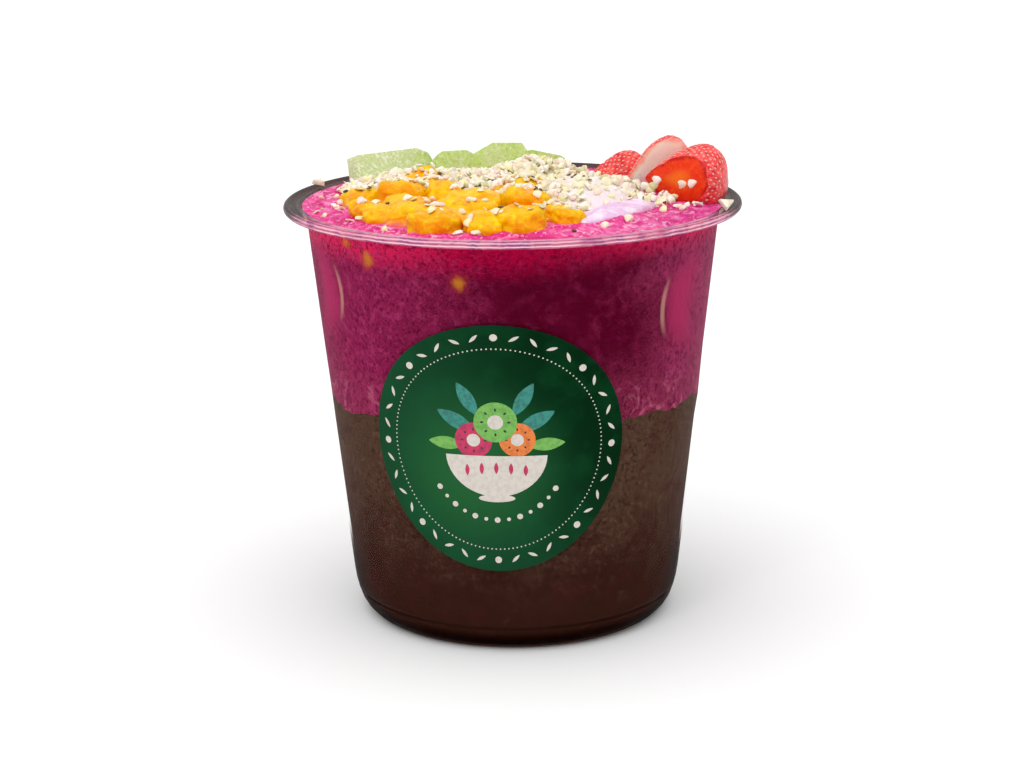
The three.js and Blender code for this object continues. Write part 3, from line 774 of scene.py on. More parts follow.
class ACAI_OT_layers(bpy.types.Operator):
    """Make the dark and the pink layer, up against the wall"""

    bl_idname = "acai.layers"
    bl_label = "Layers"

    def execute(self, context):
        fill, cup = context.scene.acai_fill, context.scene.acai_cup

        def skin(z):
            return outside(z) - cup.wall + INTO_WALL

        dark = [(0, 1.55), (32.8, 1.55), (34.0, 0.45), (37.0, 0.45)]
        dark += [(38.3, 1.4), (40.0, 3.2), (40.8, 5.0)]
        dark += [(skin(z), z) for z in (7.2, 8.5, 10, 12, 15, 20, 30, 40, 52)]
        dark += [(r, HIGH) for r in rows(skin(BORDER), 0, RING)]
        bm = lathe(dark, AROUND)
        for vert in bm.verts:
            x, y, z = vert.co
            if z > HIGH - 1:
                vert.co.z = border_level(x, y) + ragged(x, y)
        finish_piece(bm, "acai_fill", [dark_blend(fill)], ("acai_layer",), sharp=40)

        pink = [(r, LOW) for r in rows(0, skin(BORDER), RING)]
        pink += [(skin(z), z) for z in (70, 80, 90, 100, 104)]
        pink += [(52.9, 105.8), (53.25, 106.6), (53.6, 107.15)]
        pink += [(r, HIGH) for r in rows(TOP_EDGE, 0, 0.9)]
        bm = lathe(pink, AROUND)
        for vert in bm.verts:
            x, y, z = vert.co
            if z < LOW + 1:
                vert.co.z = border_level(x, y) + ragged(x, y) + 0.02
            elif z > HIGH - 1:
                relief = 0.45 * roughen((x, y, 0), 5.0, 1.2) + 0.18 * roughen((x, y, 0), 1.4, 5.0)
                inward = min(1.0, max(0.0, (TOP_EDGE - math.hypot(x, y)) / 2.5))
                vert.co.z = fill_level(x, y) + relief * inward + 0.12 * (1 - inward)
        bm.normal_update()
        keep_surface("pink", bm)
        for face in bm.faces:
            if face.normal.z > 0.3 and face.calc_center_median().z > 104:
                face.material_index = 1
        looks = [pink_wall(fill), pink_top(fill)]
        finish_piece(bm, "pitaya_fill", looks, ("pitaya_layer",), sharp=40)
        return {"FINISHED"}


# ---- Sticker


STICKER_LEVEL, STICKER_TURN = 54.8, -5.6  # height of its middle, and its turn from the front in degrees
PAPER_OUT, PAPER, INK = 0.4, 0.15, 0.015  # how far the paper stands off, its thickness and a print's


def on_wall(point, away):
    """A flat point of the sticker, wrapped round the tapered wall."""
    z = STICKER_LEVEL + point.y * math.cos(math.atan(WALL_TAPER))
    angle = math.radians(STICKER_TURN - 90) + point.x / outside(STICKER_LEVEL)
    return Vector((*circling(outside(z) + away, angle), z))


def laid(bm, at, stretch=(1, 1), turn=0.0):
    """Stretches, turns and moves a flat shape."""
    bmesh.ops.scale(bm, vec=(*stretch, 1), verts=bm.verts)
    bmesh.ops.rotate(bm, matrix=Matrix.Rotation(turn, 3, "Z"), verts=bm.verts)
    bmesh.ops.translate(bm, vec=(*at, 0), verts=bm.verts)
    return bm


def flat_disc(radius, rings, steps, at=(0, 0), stretch=(1, 1)):
    """A flat disc in rings, so that it can be bent."""
    return laid(lathe([(radius * i / rings, 0) for i in range(rings + 1)], steps), at, stretch)


def leaf(size, at, turn, slim=0.36):
    """A leaf: a long disc drawn to a point at both ends."""
    bm = flat_disc(1.0, 3, 28)
    for vert in bm.verts:
        vert.co.y *= slim * (1 - abs(vert.co.x) ** 2.2 * 0.55)
    return laid(bm, at, (size, size), turn)


def half_disc(radius, at, stretch):
    """The lower half of a disc."""
    bm = flat_disc(radius, 6, 48, stretch=stretch)
    cut(bm, (0, 0, 0), (0, 1, 0))
    return laid(bm, at)


WHITE, ROSE, ORANGE, TEAL, LIME, DARK = range(6)


def sticker_print(radius):
    """The print as flat shapes with a slot and a level each: a garland round the edge, a dotted ring,
    and a bowl of fruit with leaves in the middle."""
    shapes = []

    def add(shape, slot=WHITE, level=1):
        shapes.append((shape, slot, level))

    for i in range(40):
        a = 2 * math.pi * i / 40
        at = circling(0.905 * radius, a)
        if i % 5 == 0:
            add(flat_disc(0.9, 2, 16, at))
        else:
            tilt = 0.65 if i % 2 else -0.65
            add(leaf(1.35, at, a + math.pi / 2 + tilt, 0.3))
    for i in range(150):
        add(flat_disc(0.2, 1, 8, circling(0.815 * radius, 2 * math.pi * i / 150)))
    for side in (-1, 1):
        for x, y, turn, size, slot in (
            (9.5, 7.5, 0.5, 5.2, TEAL),
            (12.2, 1.5, 0.05, 4.6, LIME),
            (6.6, 13.2, 1.05, 4.8, TEAL),
        ):
            add(leaf(size, (side * x, y), turn if side > 0 else math.pi - turn), slot)
    for x, y, size, slot, level in (
        (-5.4, 2.6, 4.6, ROSE, 2),
        (5.2, 2.8, 4.4, ORANGE, 2),
        (0, 7.4, 5.2, LIME, 4),
    ):
        add(flat_disc(size, 5, 36, (x, y)), slot, level)
        add(flat_disc(0.36 * size, 2, 24, (x, y)), WHITE, level + 1)
        for k in range(8):
            a = 2 * math.pi * k / 8
            add(leaf(0.09 * size, circling(0.62 * size, a, (x, y)), a, 0.6), DARK, level + 1)
    add(half_disc(12.5, (0, -1.4), (1, 0.86)), WHITE, 6)
    add(flat_disc(4.6, 3, 32, (0, -12.6), (1, 0.22)), WHITE, 6)
    for x in (-7.2, -3.6, 0, 3.6, 7.2):
        add(leaf(1.5, (x, -4.6 - 0.012 * x * x), 1.57), ROSE, 7)
    for k in range(13):
        at = circling(17.4, math.pi * (1.18 + 0.64 * k / 12), (0, -1.0))
        add(flat_disc(0.5 if k % 2 else 0.75, 2, 14, at))
    return shapes


class ACAI_OT_sticker(bpy.types.Operator):
    """Make the round sticker and its print, wrapped on the wall"""

    bl_idname = "acai.sticker"
    bl_label = "Sticker"

    def execute(self, context):
        sticker = context.scene.acai_sticker
        bm = flat_disc(sticker.radius, 40, 160)
        map_flat(bm, "print", (sticker.radius, sticker.radius))
        for vert in bm.verts:
            vert.co = on_wall(vert.co, PAPER_OUT)
        bmesh.ops.recalc_face_normals(bm, faces=bm.faces)
        # The back of the paper is pushed in towards the cup's axis.
        for part in bmesh.ops.extrude_face_region(bm, geom=bm.faces[:])["geom"]:
            if isinstance(part, bmesh.types.BMVert):
                share = 1 - PAPER / math.hypot(part.co.x, part.co.y)
                part.co.x *= share
                part.co.y *= share
        bmesh.ops.recalc_face_normals(bm, faces=bm.faces)
        ground = [sticker_ground(sticker)]
        finish_piece(bm, "sticker_paper", ground, ("sticker",), sharp=40)

        inks = (
            ("ink_white", sticker.ink, "c6beb4"),
            ("ink_rose", "c21f55", "a3164a"),
            ("ink_orange", "e07a2c", "c8641f"),
            ("ink_teal", "1f8577", "17695f"),
            ("ink_lime", "6fae4b", "5c9a3c"),
            ("ink_dark", "14231c", "1c3026"),
        )
        bm = bmesh.new()
        for shape, slot, level in sticker_print(sticker.radius):
            for vert in shape.verts:
                vert.co = on_wall(vert.co, PAPER_OUT + INK * (1 + level))
            joined(bm, shape, slot)
        for face in bm.faces:
            middle = face.calc_center_median()
            if face.normal.dot(Vector((middle.x, middle.y, 0))) < 0:
                face.normal_flip()
        inks = [plain_look(*ink, 1.2, 0.4, 0.01) for ink in inks]
        finish_piece(bm, "sticker_ink", inks)
        return {"FINISHED"}


# ---- Fruit and yoghurt

SURFACES = []  # what seeds can fall on: its kind and its faces in millimetres
SKY = 150  # a height above everything
RIM_FROM, RIM_LOW, RIM_TOP = 52.4, 107.3, 108.3  # where the rim starts, and how high it stands


def keep_surface(kind, bm):
    """Keeps a piece's shape for seeds to fall on."""
    SURFACES.append((kind, BVHTree.FromBMesh(bm)))


def drop(x, y):
    """The highest point under the sky at a place, its normal, and what it lies on."""
    best = None
    for kind, tree in SURFACES:
        hit, normal, _, _ = tree.ray_cast(Vector((x, y, SKY)), Vector((0, 0, -1)))
        if hit and (best is None or hit.z > best[0].z):
            best = hit, normal, kind
    return best


def resting(x, y, lift, side):
    """The place of a thing that has come to lie at a spot, its X axis to a side."""
    point, normal, _ = drop(x, y)
    return placing(point + lift * normal, x=side, z=normal)


def off_the_rim(bm, clearance=0.25):
    """Lifts what would reach into the rim on to the top of it."""
    for vert in bm.verts:
        over = math.hypot(vert.co.x, vert.co.y) - RIM_FROM
        if over > 0:
            least = RIM_LOW + min(1.0, over / 2.0) * (RIM_TOP - RIM_LOW) + clearance
            vert.co.z = max(vert.co.z, least)


# Of each chunk: its middle, half sizes and turn.
MANGOS = (
    ((-38.6, 0.6, 107.2), (5.6, 6.6, 3.8), (6, -8, 20)),
    ((-34.6, -22.0, 107.6), (4.6, 7.2, 3.2), (5, 6, 30)),
    ((-27.8, -2.0, 108.6), (6.0, 7.2, 4.1), (-8, 6, -15)),
    ((-26.0, -20.6, 107.9), (6.8, 8.6, 4.2), (4, 4, 10)),
    ((-22.6, 11.0, 108.6), (5.8, 5.6, 4.0), (10, -10, 30)),
    ((-18.4, -36.6, 107.9), (7.6, 7.2, 3.6), (-4, 2, -12)),
    ((-15.6, -6.8, 108.5), (5.8, 7.0, 4.0), (4, 12, 25)),
    ((-10.2, -21.6, 108.3), (7.8, 8.2, 4.5), (3, -6, 8)),
    ((-7.2, -40.0, 107.3), (4.8, 5.8, 3.2), (8, 4, 15)),
    ((2.2, -37.4, 108.2), (6.4, 7.4, 3.9), (-6, -3, -10)),
    ((2.2, 3.0, 108.4), (6.2, 6.4, 4.1), (8, -5, -18)),
    ((2.6, -17.0, 108.6), (6.0, 8.0, 4.1), (-5, 8, 12)),
    ((11.8, -29.0, 107.9), (4.6, 5.8, 3.2), (5, 10, 35)),
)


def mango_chunk(half, seed):
    """A diced chunk: a cube with drawn-in corners, dented faces and a fibrous skin of relief."""
    random = stream(seed)
    phase = [next(random) * 6 for _ in range(3)]
    bm = bmesh.new()
    bmesh.ops.create_cube(bm, size=2)
    bmesh.ops.subdivide_edges(bm, edges=bm.edges[:], cuts=15, use_grid_fill=True)
    for vert in bm.verts:
        p = vert.co
        p /= sum(abs(c) ** 4 for c in p) ** 0.25
        dents = zip((0.11, 0.10, 0.07), (2.3, 2.7, 2.1), p, phase)
        dent = 1 + sum(depth * math.sin(rate * c + shift) for depth, rate, c, shift in dents)
        out = p.normalized()
        p = Vector(c * dent * h for c, h in zip(p, half))
        vert.co = p + out * (1.2 * roughen(p, 3.6, seed) + 0.18 * roughen(p, 1.1, seed + 5))
    return bm


MANGO_PULP = dict(at=(-11, -16), half=(24, 24), turn=12, base=107.9, height=2.5, seed=3)


class ACAI_OT_mango(bpy.types.Operator):
    """Make the mango chunks and the pulp between them"""

    bl_idname = "acai.mango"
    bl_label = "Mango"

    def execute(self, context):
        toppings = context.scene.acai_toppings
        flesh = mango_flesh(toppings)
        pulp = mound(MANGO_PULP, 0.7, 3.5)
        keep_surface("mango", pulp)
        finish_piece(pulp, "mango_pulp", [mango_pulp(toppings)])
        for i, (at, half, turn) in enumerate(MANGOS):
            bm = move(mango_chunk(half, 90 + i), placing(at, turn))
            keep_surface("mango", bm)
            name = f"mango_chunk_{i + 1}"
            finish_piece(bm, "ripe_" + name, [flesh], (name,))
        return {"FINISHED"}


# Of each slice: half sizes; its cuts, each a turn and how far out it lies; and its place.
KIWIS = {
    "kiwi_slice_left": (
        (14.6, 14.5),
        ((0, 8.7), (-25, 11.8), (84, 10.9)),
        placing((-33.1, 32.7, 106.6), z=(0.564, -0.752, 0.34), x=(0.8, 0.6, 0)),
    ),
    "kiwi_slice_middle": (
        (8.8, 9.5),
        ((0, 8.8),),
        placing((-15.5, 40.1, 105.4), z=(0.244, -0.912, 0.34), x=(0.97, 0.26, 0)),
    ),
    "kiwi_slice_right": (
        (21, 17),
        ((0, 15.6), (31, 15.2), (-55, 12.7)),
        placing((-2.1, 38.8, 100.8), z=(-0.094, -0.935, 0.34), x=(1, -0.1, 0)),
    ),
    "kiwi_slice_far": (
        (12.5, 12.8),
        ((-13, 12.1),),
        placing((7, 43.4, 101), z=(0.08, -0.935, 0.34), x=(1, 0.085, 0)),
    ),
}
KIWI_THICKNESS = 5.2
KIWI_PIPS = 34  # in the ring of a whole slice
KIWI_PIP, LOOSE_PIP = (0.95, 0.5, 0.28), (0.95, 0.55, 0.45)  # half sizes
# Seeds of the kiwi that have come off on to what lies in front.
LOOSE_PIPS = ((-42.8, 1.4), (-34.0, 16.0), (-29.5, 21.5), (-31.1, -21.0), (32.2, -5.1))


def kiwi_slice(half, cuts):
    """A slice with soft edges, cut off straight, its map laid flat on its face."""
    bm = bmesh.new()
    front = 1 - 0.7 / half[0]
    bmesh.ops.create_cone(
        bm, cap_ends=True, segments=96, radius1=front, radius2=1, depth=KIWI_THICKNESS
    )
    bmesh.ops.scale(bm, vec=(*half, 1), verts=bm.verts)
    for turn, away in cuts:
        normal = Matrix.Rotation(math.radians(turn), 3, "Z") @ Vector((0, 1, 0))
        cut(bm, normal * away, normal)
        close(bm)
    soften(bm, [e for e in bm.edges if e.calc_face_angle(0) > 0.6], 0.55, 4)
    map_flat(bm, "slice", half)
    return bm


def cut_off(x, y, cuts):
    """Whether a spot on a slice lies past one of its cuts, or close to it."""
    for turn, away in cuts:
        normal = Matrix.Rotation(math.radians(turn), 2) @ Vector((0, 1))
        if normal.dot(Vector((x, y))) > away - 0.8:
            return True
    return False


class ACAI_OT_kiwi(bpy.types.Operator):
    """Make the kiwi slices with their seeds"""

    bl_idname = "acai.kiwi"
    bl_label = "Kiwi"

    def execute(self, context):
        flesh = kiwi_flesh(context.scene.acai_toppings)
        pips = bmesh.new()
        for i, (name, (half, cuts, place)) in enumerate(KIWIS.items()):
            bm = move(kiwi_slice(half, cuts), place)
            keep_surface("kiwi", bm)
            finish_piece(bm, "ripe_" + name, [flesh], (name,), 50)
            random = stream(700 + i)
            for k in range(KIWI_PIPS):
                angle = 2 * math.pi * (k + next(random)) / KIWI_PIPS
                side = 1 if k % 3 and i else -1
                out = (0.14 if side > 0 else 0.26) + 0.14 * next(random)
                x, y = half[0] * out * math.cos(angle), half[1] * out * math.sin(angle)
                if cut_off(x, y, cuts):
                    continue
                at = Matrix.Translation((x, y, side * (KIWI_THICKNESS / 2 - 0.05)))
                turn = Matrix.Rotation(angle + 0.5 * next(random), 4, "Z")
                joined(pips, blob(place @ at @ turn, KIWI_PIP))
        random = stream(77)
        for x, y in LOOSE_PIPS:
            side = (math.cos(9 * next(random)), math.sin(9 * next(random)), 0.1)
            joined(pips, blob(resting(x, y, 0.25, side), LOOSE_PIP))
        look = plain_look("kiwi_pip", "1a1410", "3a2a18", 0.6, 0.25, 0.03)
        finish_piece(pips, "kiwi_pips", [look])
        return {"FINISHED"}


# Of each: length, radius, lean and where its two cuts lie; its place; how many pips the whole berry has.
STRAWBERRIES = {
    "strawberry_half": (
        (21.4, 8.9, 24.5, -4.8, 12),
        placing((44.4, -0.3, 113.0), z=(-0.8, 0.6, -0.06), x=(0.6, 0.79, -0.1)),
        620,
    ),
    "strawberry_slice": (
        (19.6, 6.1, 0, -0.5, 6.1),
        placing((37.3, 9.6, 114.2), z=(-0.84, 0, -0.54), x=(-0.25, 0.93, 0.2)),
        420,
    ),
    "strawberry_back": (
        (17, 5.4, 0, -6, 1),
        placing((27.2, 21.9, 110.7), z=(-0.94, 0, -0.34), x=(0, 0.9, 0.4)),
        330,
    ),
}


GOLDEN_ANGLE = math.radians(137.508)
BERRY_PIP, PIP_DEPTH = (0.27, 0.42, 0.2), 0.18  # half sizes, and how far it is sunk in the skin
DIMPLE, DIMPLE_DEPTH = 0.8, 0.34  # radius and depth of the skin's dimple round a pip
ABOVE_FILL = 108.4  # pips below it are left out


def berry_radius(t, radius):
    """Radius of a strawberry at a share of its length from the shoulder to the tip."""
    if t <= 0 or t >= 1:
        return 0.0
    return radius * abs(math.sin(math.pi * t**0.57)) ** 0.75


def leaning(lean):
    """Tips a berry so that its tip moves towards -X."""
    return Matrix.Rotation(math.radians(-lean), 3, "Y")


def berry_pips(shape, count):
    """Places of the pips on the skin between two cuts, in a spiral, with their outward directions."""
    long, radius, lean, start, end = shape
    found = []
    step = 0.01
    for k in range(count):
        t = 0.03 + 0.94 * (k + 0.5) / count
        a = k * GOLDEN_ANGLE
        point = Vector((*circling(berry_radius(t, radius), a), long * (t - 0.5)))
        rise = berry_radius(min(0.995, t + step), radius)
        rise -= berry_radius(max(0.005, t - step), radius)
        outward = Vector((*circling(1, a), -rise / (2 * step * long))).normalized()
        point, outward = leaning(lean) @ point, leaning(lean) @ outward
        if start + 0.5 < point.x < end - 0.1:
            found.append((point, outward))
    return found


def berry(shape, pips):
    """A strawberry between two cuts: dimpled skin in the first slot, cut flesh in the second."""
    long, radius, lean, start, end = shape
    shares = [(i / 80) ** 1.15 for i in range(81)]
    bm = lathe([(berry_radius(t, radius), long * (t - 0.5)) for t in shares])
    bmesh.ops.rotate(bm, matrix=leaning(lean), verts=bm.verts)
    tree = KDTree(len(pips))
    for i, (point, _) in enumerate(pips):
        tree.insert(point, i)
    tree.balance()
    for vert in bm.verts:
        _, _, away = tree.find(vert.co)
        dimple = DIMPLE_DEPTH * max(0.0, 1 - away / DIMPLE) ** 1.3
        lumps = 0.3 * roughen(vert.co, 4.0, radius)
        vert.co -= vert.co.normalized() * (dimple - lumps)
    uv = bm.loops.layers.uv.new("face")
    for away, normal in ((start, Vector((-1, 0, 0))), (end, Vector((1, 0, 0)))):
        if abs(away) >= 0.98 * radius:
            continue
        cut(bm, (away, 0, 0), normal)
        close(bm)
        face = max(bm.faces, key=lambda f: len(f.verts))
        face.normal_update()
        count = len(face.verts)
        fan = bmesh.ops.poke(bm, faces=[face])
        middle = fan["verts"][0]
        middle.co += normal * 0.35
        for i, part in enumerate(fan["faces"]):
            part.material_index = 1
            for loop in part.loops:
                outer = loop.vert != middle
                share = i / count if outer else (i + 0.5) / count
                loop[uv].uv = (share, 1.0 if outer else 0.0)
    return bm


class ACAI_OT_strawberries(bpy.types.Operator):
    """Make the cut strawberries with their pips"""

    bl_idname = "acai.strawberries"
    bl_label = "Strawberries"

    def execute(self, context):
        skin = strawberry_skin(context.scene.acai_toppings)
        heart = strawberry_flesh("strawberry_heart", "f26c10", "e83206", "c00d06", 0.84, 0.1)
        # Partly painted light: the slice's face is laid near white, in part its paler flesh, in part to
        # stand for light coming through the thin slice while its face lies in shade.
        pale = strawberry_flesh("strawberry_pale_painted_light", "fff6f0", "fff0e6", "ffa292", 0.76, 0.7)
        seeds = bmesh.new()
        for name, (shape, place, count) in STRAWBERRIES.items():
            pips = berry_pips(shape, count)
            bm = move(berry(shape, pips), place)
            off_the_rim(bm)
            keep_surface("berry", bm)
            looks = [skin, heart if name == "strawberry_half" else pale]
            finish_piece(bm, "ripe_" + name, looks, (name,), 50)
            for point, outward in pips:
                along = Vector((0, 0, 1))
                along = (along - outward * along.dot(outward)).normalized()
                turned = Matrix((outward.cross(along), along, outward)).transposed()
                at = Matrix.Translation(point - outward * PIP_DEPTH) @ turned.to_4x4()
                pip = blob(place @ at, BERRY_PIP, subdivisions=1)
                if min(v.co.z for v in pip.verts) > ABOVE_FILL:
                    joined(seeds, pip)
                else:
                    pip.free()
        look = plain_look("strawberry_pip", "f6b4a8", "f2b888", 0.8, 0.35, 0.03)
        finish_piece(seeds, "strawberry_pips", [look])
        return {"FINISHED"}


# Mounds: middle, half sizes, turn, level of the edge, height above it, and the seed of its unevenness.
YOGHURT = dict(at=(19.8, -0.5), half=(12.4, 22), turn=-10, base=107.4, height=5.3, seed=41)
YOGHURT_SMEAR = dict(at=(25.4, -20.5), half=(5.2, 16.5), turn=-34, base=108.1, height=2.0, seed=17)
HEMP_HEAP = dict(at=(-9, 20.5), half=(34, 16.5), turn=2, base=107.8, height=2.3, seed=77)
HEMP_HILL = dict(at=(6.8, 24), half=(12.5, 9.5), turn=-8, base=107.8, height=5.3, seed=23)


def mound_point(spec, angle, out):
    """A point of a mound, at a turn about its middle and a share of the way out to its edge."""
    random = stream(spec["seed"])
    phase = [next(random) * 6 for _ in range(3)]
    waves = zip((0.09, 0.07, 0.04), (2, 3, 5), phase)
    edge = 1 + sum(height * math.sin(count * angle + shift) for height, count, shift in waves)
    u = spec["half"][0] * edge * out * math.cos(angle)
    v = spec["half"][1] * edge * out * math.sin(angle)
    cos, sin = circling(1, math.radians(spec["turn"]))
    x = spec["at"][0] + u * cos - v * sin
    y = spec["at"][1] + u * sin + v * cos
    bump = 0.5 * math.sin(0.5 * x + phase[1]) * math.sin(0.55 * y + phase[2])
    rise = math.sqrt(max(0.0, 1 - out * out))
    return Vector((x, y, spec["base"] + rise * (spec["height"] + bump * rise)))


def mound(spec, relief, size):
    """A low mound with a flat bottom sunk in what it lies on, and relief of a given depth and size."""
    bm = lathe([(0, 0), (1, 0)] + [(s, 1) for s in rows(1, 0, 1 / 36)], steps=128)
    for vert in bm.verts:
        x, y, z = vert.co
        out = math.hypot(x, y)
        point = mound_point(spec, math.atan2(y, x), out)
        if z < 0.5:
            point.z = spec["base"] - 2
        else:
            point.z += (1 - out**4) * relief * roughen(point, size, spec["seed"])
        vert.co = point
    bmesh.ops.recalc_face_normals(bm, faces=bm.faces)
    return bm


class ACAI_OT_yoghurt(bpy.types.Operator):
    """Make the spoonful of yoghurt with its smear"""

    bl_idname = "acai.yoghurt"
    bl_label = "Yoghurt"

    def execute(self, context):
        toppings = context.scene.acai_toppings
        bm = mound(YOGHURT, 1.7, 4.5)
        joined(bm, mound(YOGHURT_SMEAR, 0.6, 4.0), slot=1)
        keep_surface("yoghurt", bm)
        wet = dict(Specular_IOR_Level=0.2, Subsurface_Weight=0.1, Subsurface_Scale=0.002)
        white = plain_look("thick_yoghurt", toppings.yoghurt, "f2dfe4", 9, 0.35, 0.6, **wet)
        lilac = plain_look("stained_yoghurt", "e8bfe2", "f6e4f2", 4, 0.3, 0.6, **wet)
        finish_piece(bm, "spooned_yoghurt", [white, lilac], ("yoghurt",))
        return {"FINISHED"}


# ---- Hemp seed


def lying(at, random):
    """A seed's place, turned at random and tipped a little."""
    turn = (30 * (next(random) - 0.5), 50 * (next(random) - 0.5), 360 * next(random))
    return placing(at, turn)


def on_mound(spec, count, seed, lift, reach=0.9):
    """Places for seeds that lie on a mound, as far out as a share of the way to its edge."""
    random = stream(seed)
    for _ in range(count):
        angle = 2 * math.pi * next(random)
        out = reach * math.sqrt(next(random))
        point = mound_point(spec, angle, out) + Vector((0, 0, lift))
        yield lying(point, random)


def set_seeds():
    """The seeds that the solids carry too."""
    for i, (at, half, turn) in enumerate(MANGOS):
        random = stream(500 + 7 * i)
        u, v = 1.3 * next(random) - 0.65, 1.3 * next(random) - 0.65
        w = (1 - u**4 - v**4) ** 0.25 + 0.06
        local = Vector((u * half[0], v * half[1], w * half[2]))
        yield lying(placing(at, turn) @ local, random)
    yield from on_mound(YOGHURT, 8, 12, 0.2, 0.75)
    yield from on_mound(HEMP_HEAP, 18, 5, 0.3)
    yield from on_mound(HEMP_HILL, 7, 9, 0.3)


def heart(shape, random):
    """One shelled seed or a broken one: a drop with a flat side, uneven all over."""
    bm = bmesh.new()
    bmesh.ops.create_icosphere(bm, subdivisions=2, radius=1)
    long, wide, high = shape
    flat = -0.35 - 0.9 * next(random)
    lump = 10 * next(random)
    for vert in bm.verts:
        p = vert.co
        p.x = max(p.x, flat)
        p.y *= 1 - 0.28 * p.x
        p.z *= 0.7 if p.z < 0 else 1.0
        p *= 1 + 0.34 * roughen(p, 1.0, lump, 2)
        vert.co = Vector((p.x * long, p.y * wide, p.z * high))
    return bm


# Where seeds fall: middle, half sizes, how many (0: as the setting says), how high they pile up, and on
# what.
PATCHES = (
    ((-9, 20.5), (35, 17), 0, 0.7, "heap pink"),
    ((-14, 26), (18, 10), 260, 0.6, "heap pink kiwi"),
    ((6.8, 24), (14, 11), 320, 1.0, "heap pink kiwi"),
    ((-27, 22), (7, 6), 60, 1.6, "heap pink kiwi mango"),
    ((-38, 18), (8, 7), 70, 0.5, "heap pink kiwi"),
    ((22, 9), (13, 13), 130, 0.3, "yoghurt heap"),
    ((15, -6), (9, 8), 36, -0.1, "yoghurt"),
    ((24, -12), (8, 7), 16, -0.1, "yoghurt"),
    ((2, 5), (9, 8), 60, 0.5, "mango heap pink"),
    ((-8, 6), (9, 6), 60, 0.5, "mango heap pink"),
    ((5, -8), (9, 7), 70, 0.6, "mango yoghurt pink"),
    ((12, -20), (7, 8), 56, 0.4, "mango yoghurt pink"),
    ((-24, 8), (16, 8), 90, 0.4, "mango pink heap"),
    ((-33, 4), (10, 8), 40, 0.3, "mango pink heap"),
    ((-26, -8), (20, 20), 30, 0.1, "mango pink"),
    ((-4, -30), (18, 14), 18, 0.1, "mango pink"),
    ((35, -6), (6, 5), 60, 0.9, "pink yoghurt"),
    ((40, -12), (8, 4), 14, 0.1, "pink"),
    ((-45, -6), (5, 20), 10, -0.1, "pink"),
    ((0, 0), (50, 50), 36, -0.1, "pink"),
)
# Single seeds on the mango in front.
SINGLES = (
    (-19.4, -40.4), (-13.2, -44.5), (-17.7, -31.6), (-21.6, -21.6),
    (-8.7, -46.5), (-37.5, -26.4), (-33.6, -22.3), (-1.4, -29.9),
)
# Dark bits of hull on the fruit and the seeds.
DARK_BITS = (
    (-42.8, 1.4), (-35.1, 17.8), (-31.1, -21.0), (-30.2, 25.4), (-2.8, -35.4), (6.2, -27.6),
    (14.7, -41.5), (32.2, -5.1), (17.8, -0.4), (4.0, -5.3), (-6.4, -35.1),
)
# Seeds on the cut face of the half strawberry.
ON_THE_FACE = (
    (45.5, -7.2, 113.0), (43.3, -5.6, 112.5), (37.1, -0.9, 112.8), (34.1, 1.2, 111.0),
    (35.3, 0.2, 110.1), (36.3, -0.4, 111.3), (38.2, -2.2, 108.9), (41.1, -4.4, 108.8),
)
# How large a share of what falls is a whole seed, a flake or a crumb, up to which draw, and its shape.
FALLEN = ((0.5, (1.4, 1.0, 0.7)), (0.85, (1.35, 1.0, 0.32)), (1.0, (0.6, 0.5, 0.4)))
WHOLE, SINGLE, FACED = (1.45, 1.0, 0.75), (1.4, 1.0, 0.7), (1.5, 1.1, 0.7)  # half sizes of seeds
DARK_BIT = (1.0, 0.6, 0.4)  # and of a bit of hull
SOWN_TO = 52.0  # no seed falls outside this radius
TOO_STEEP = 0.3  # nor stays where the ground's normal is lower


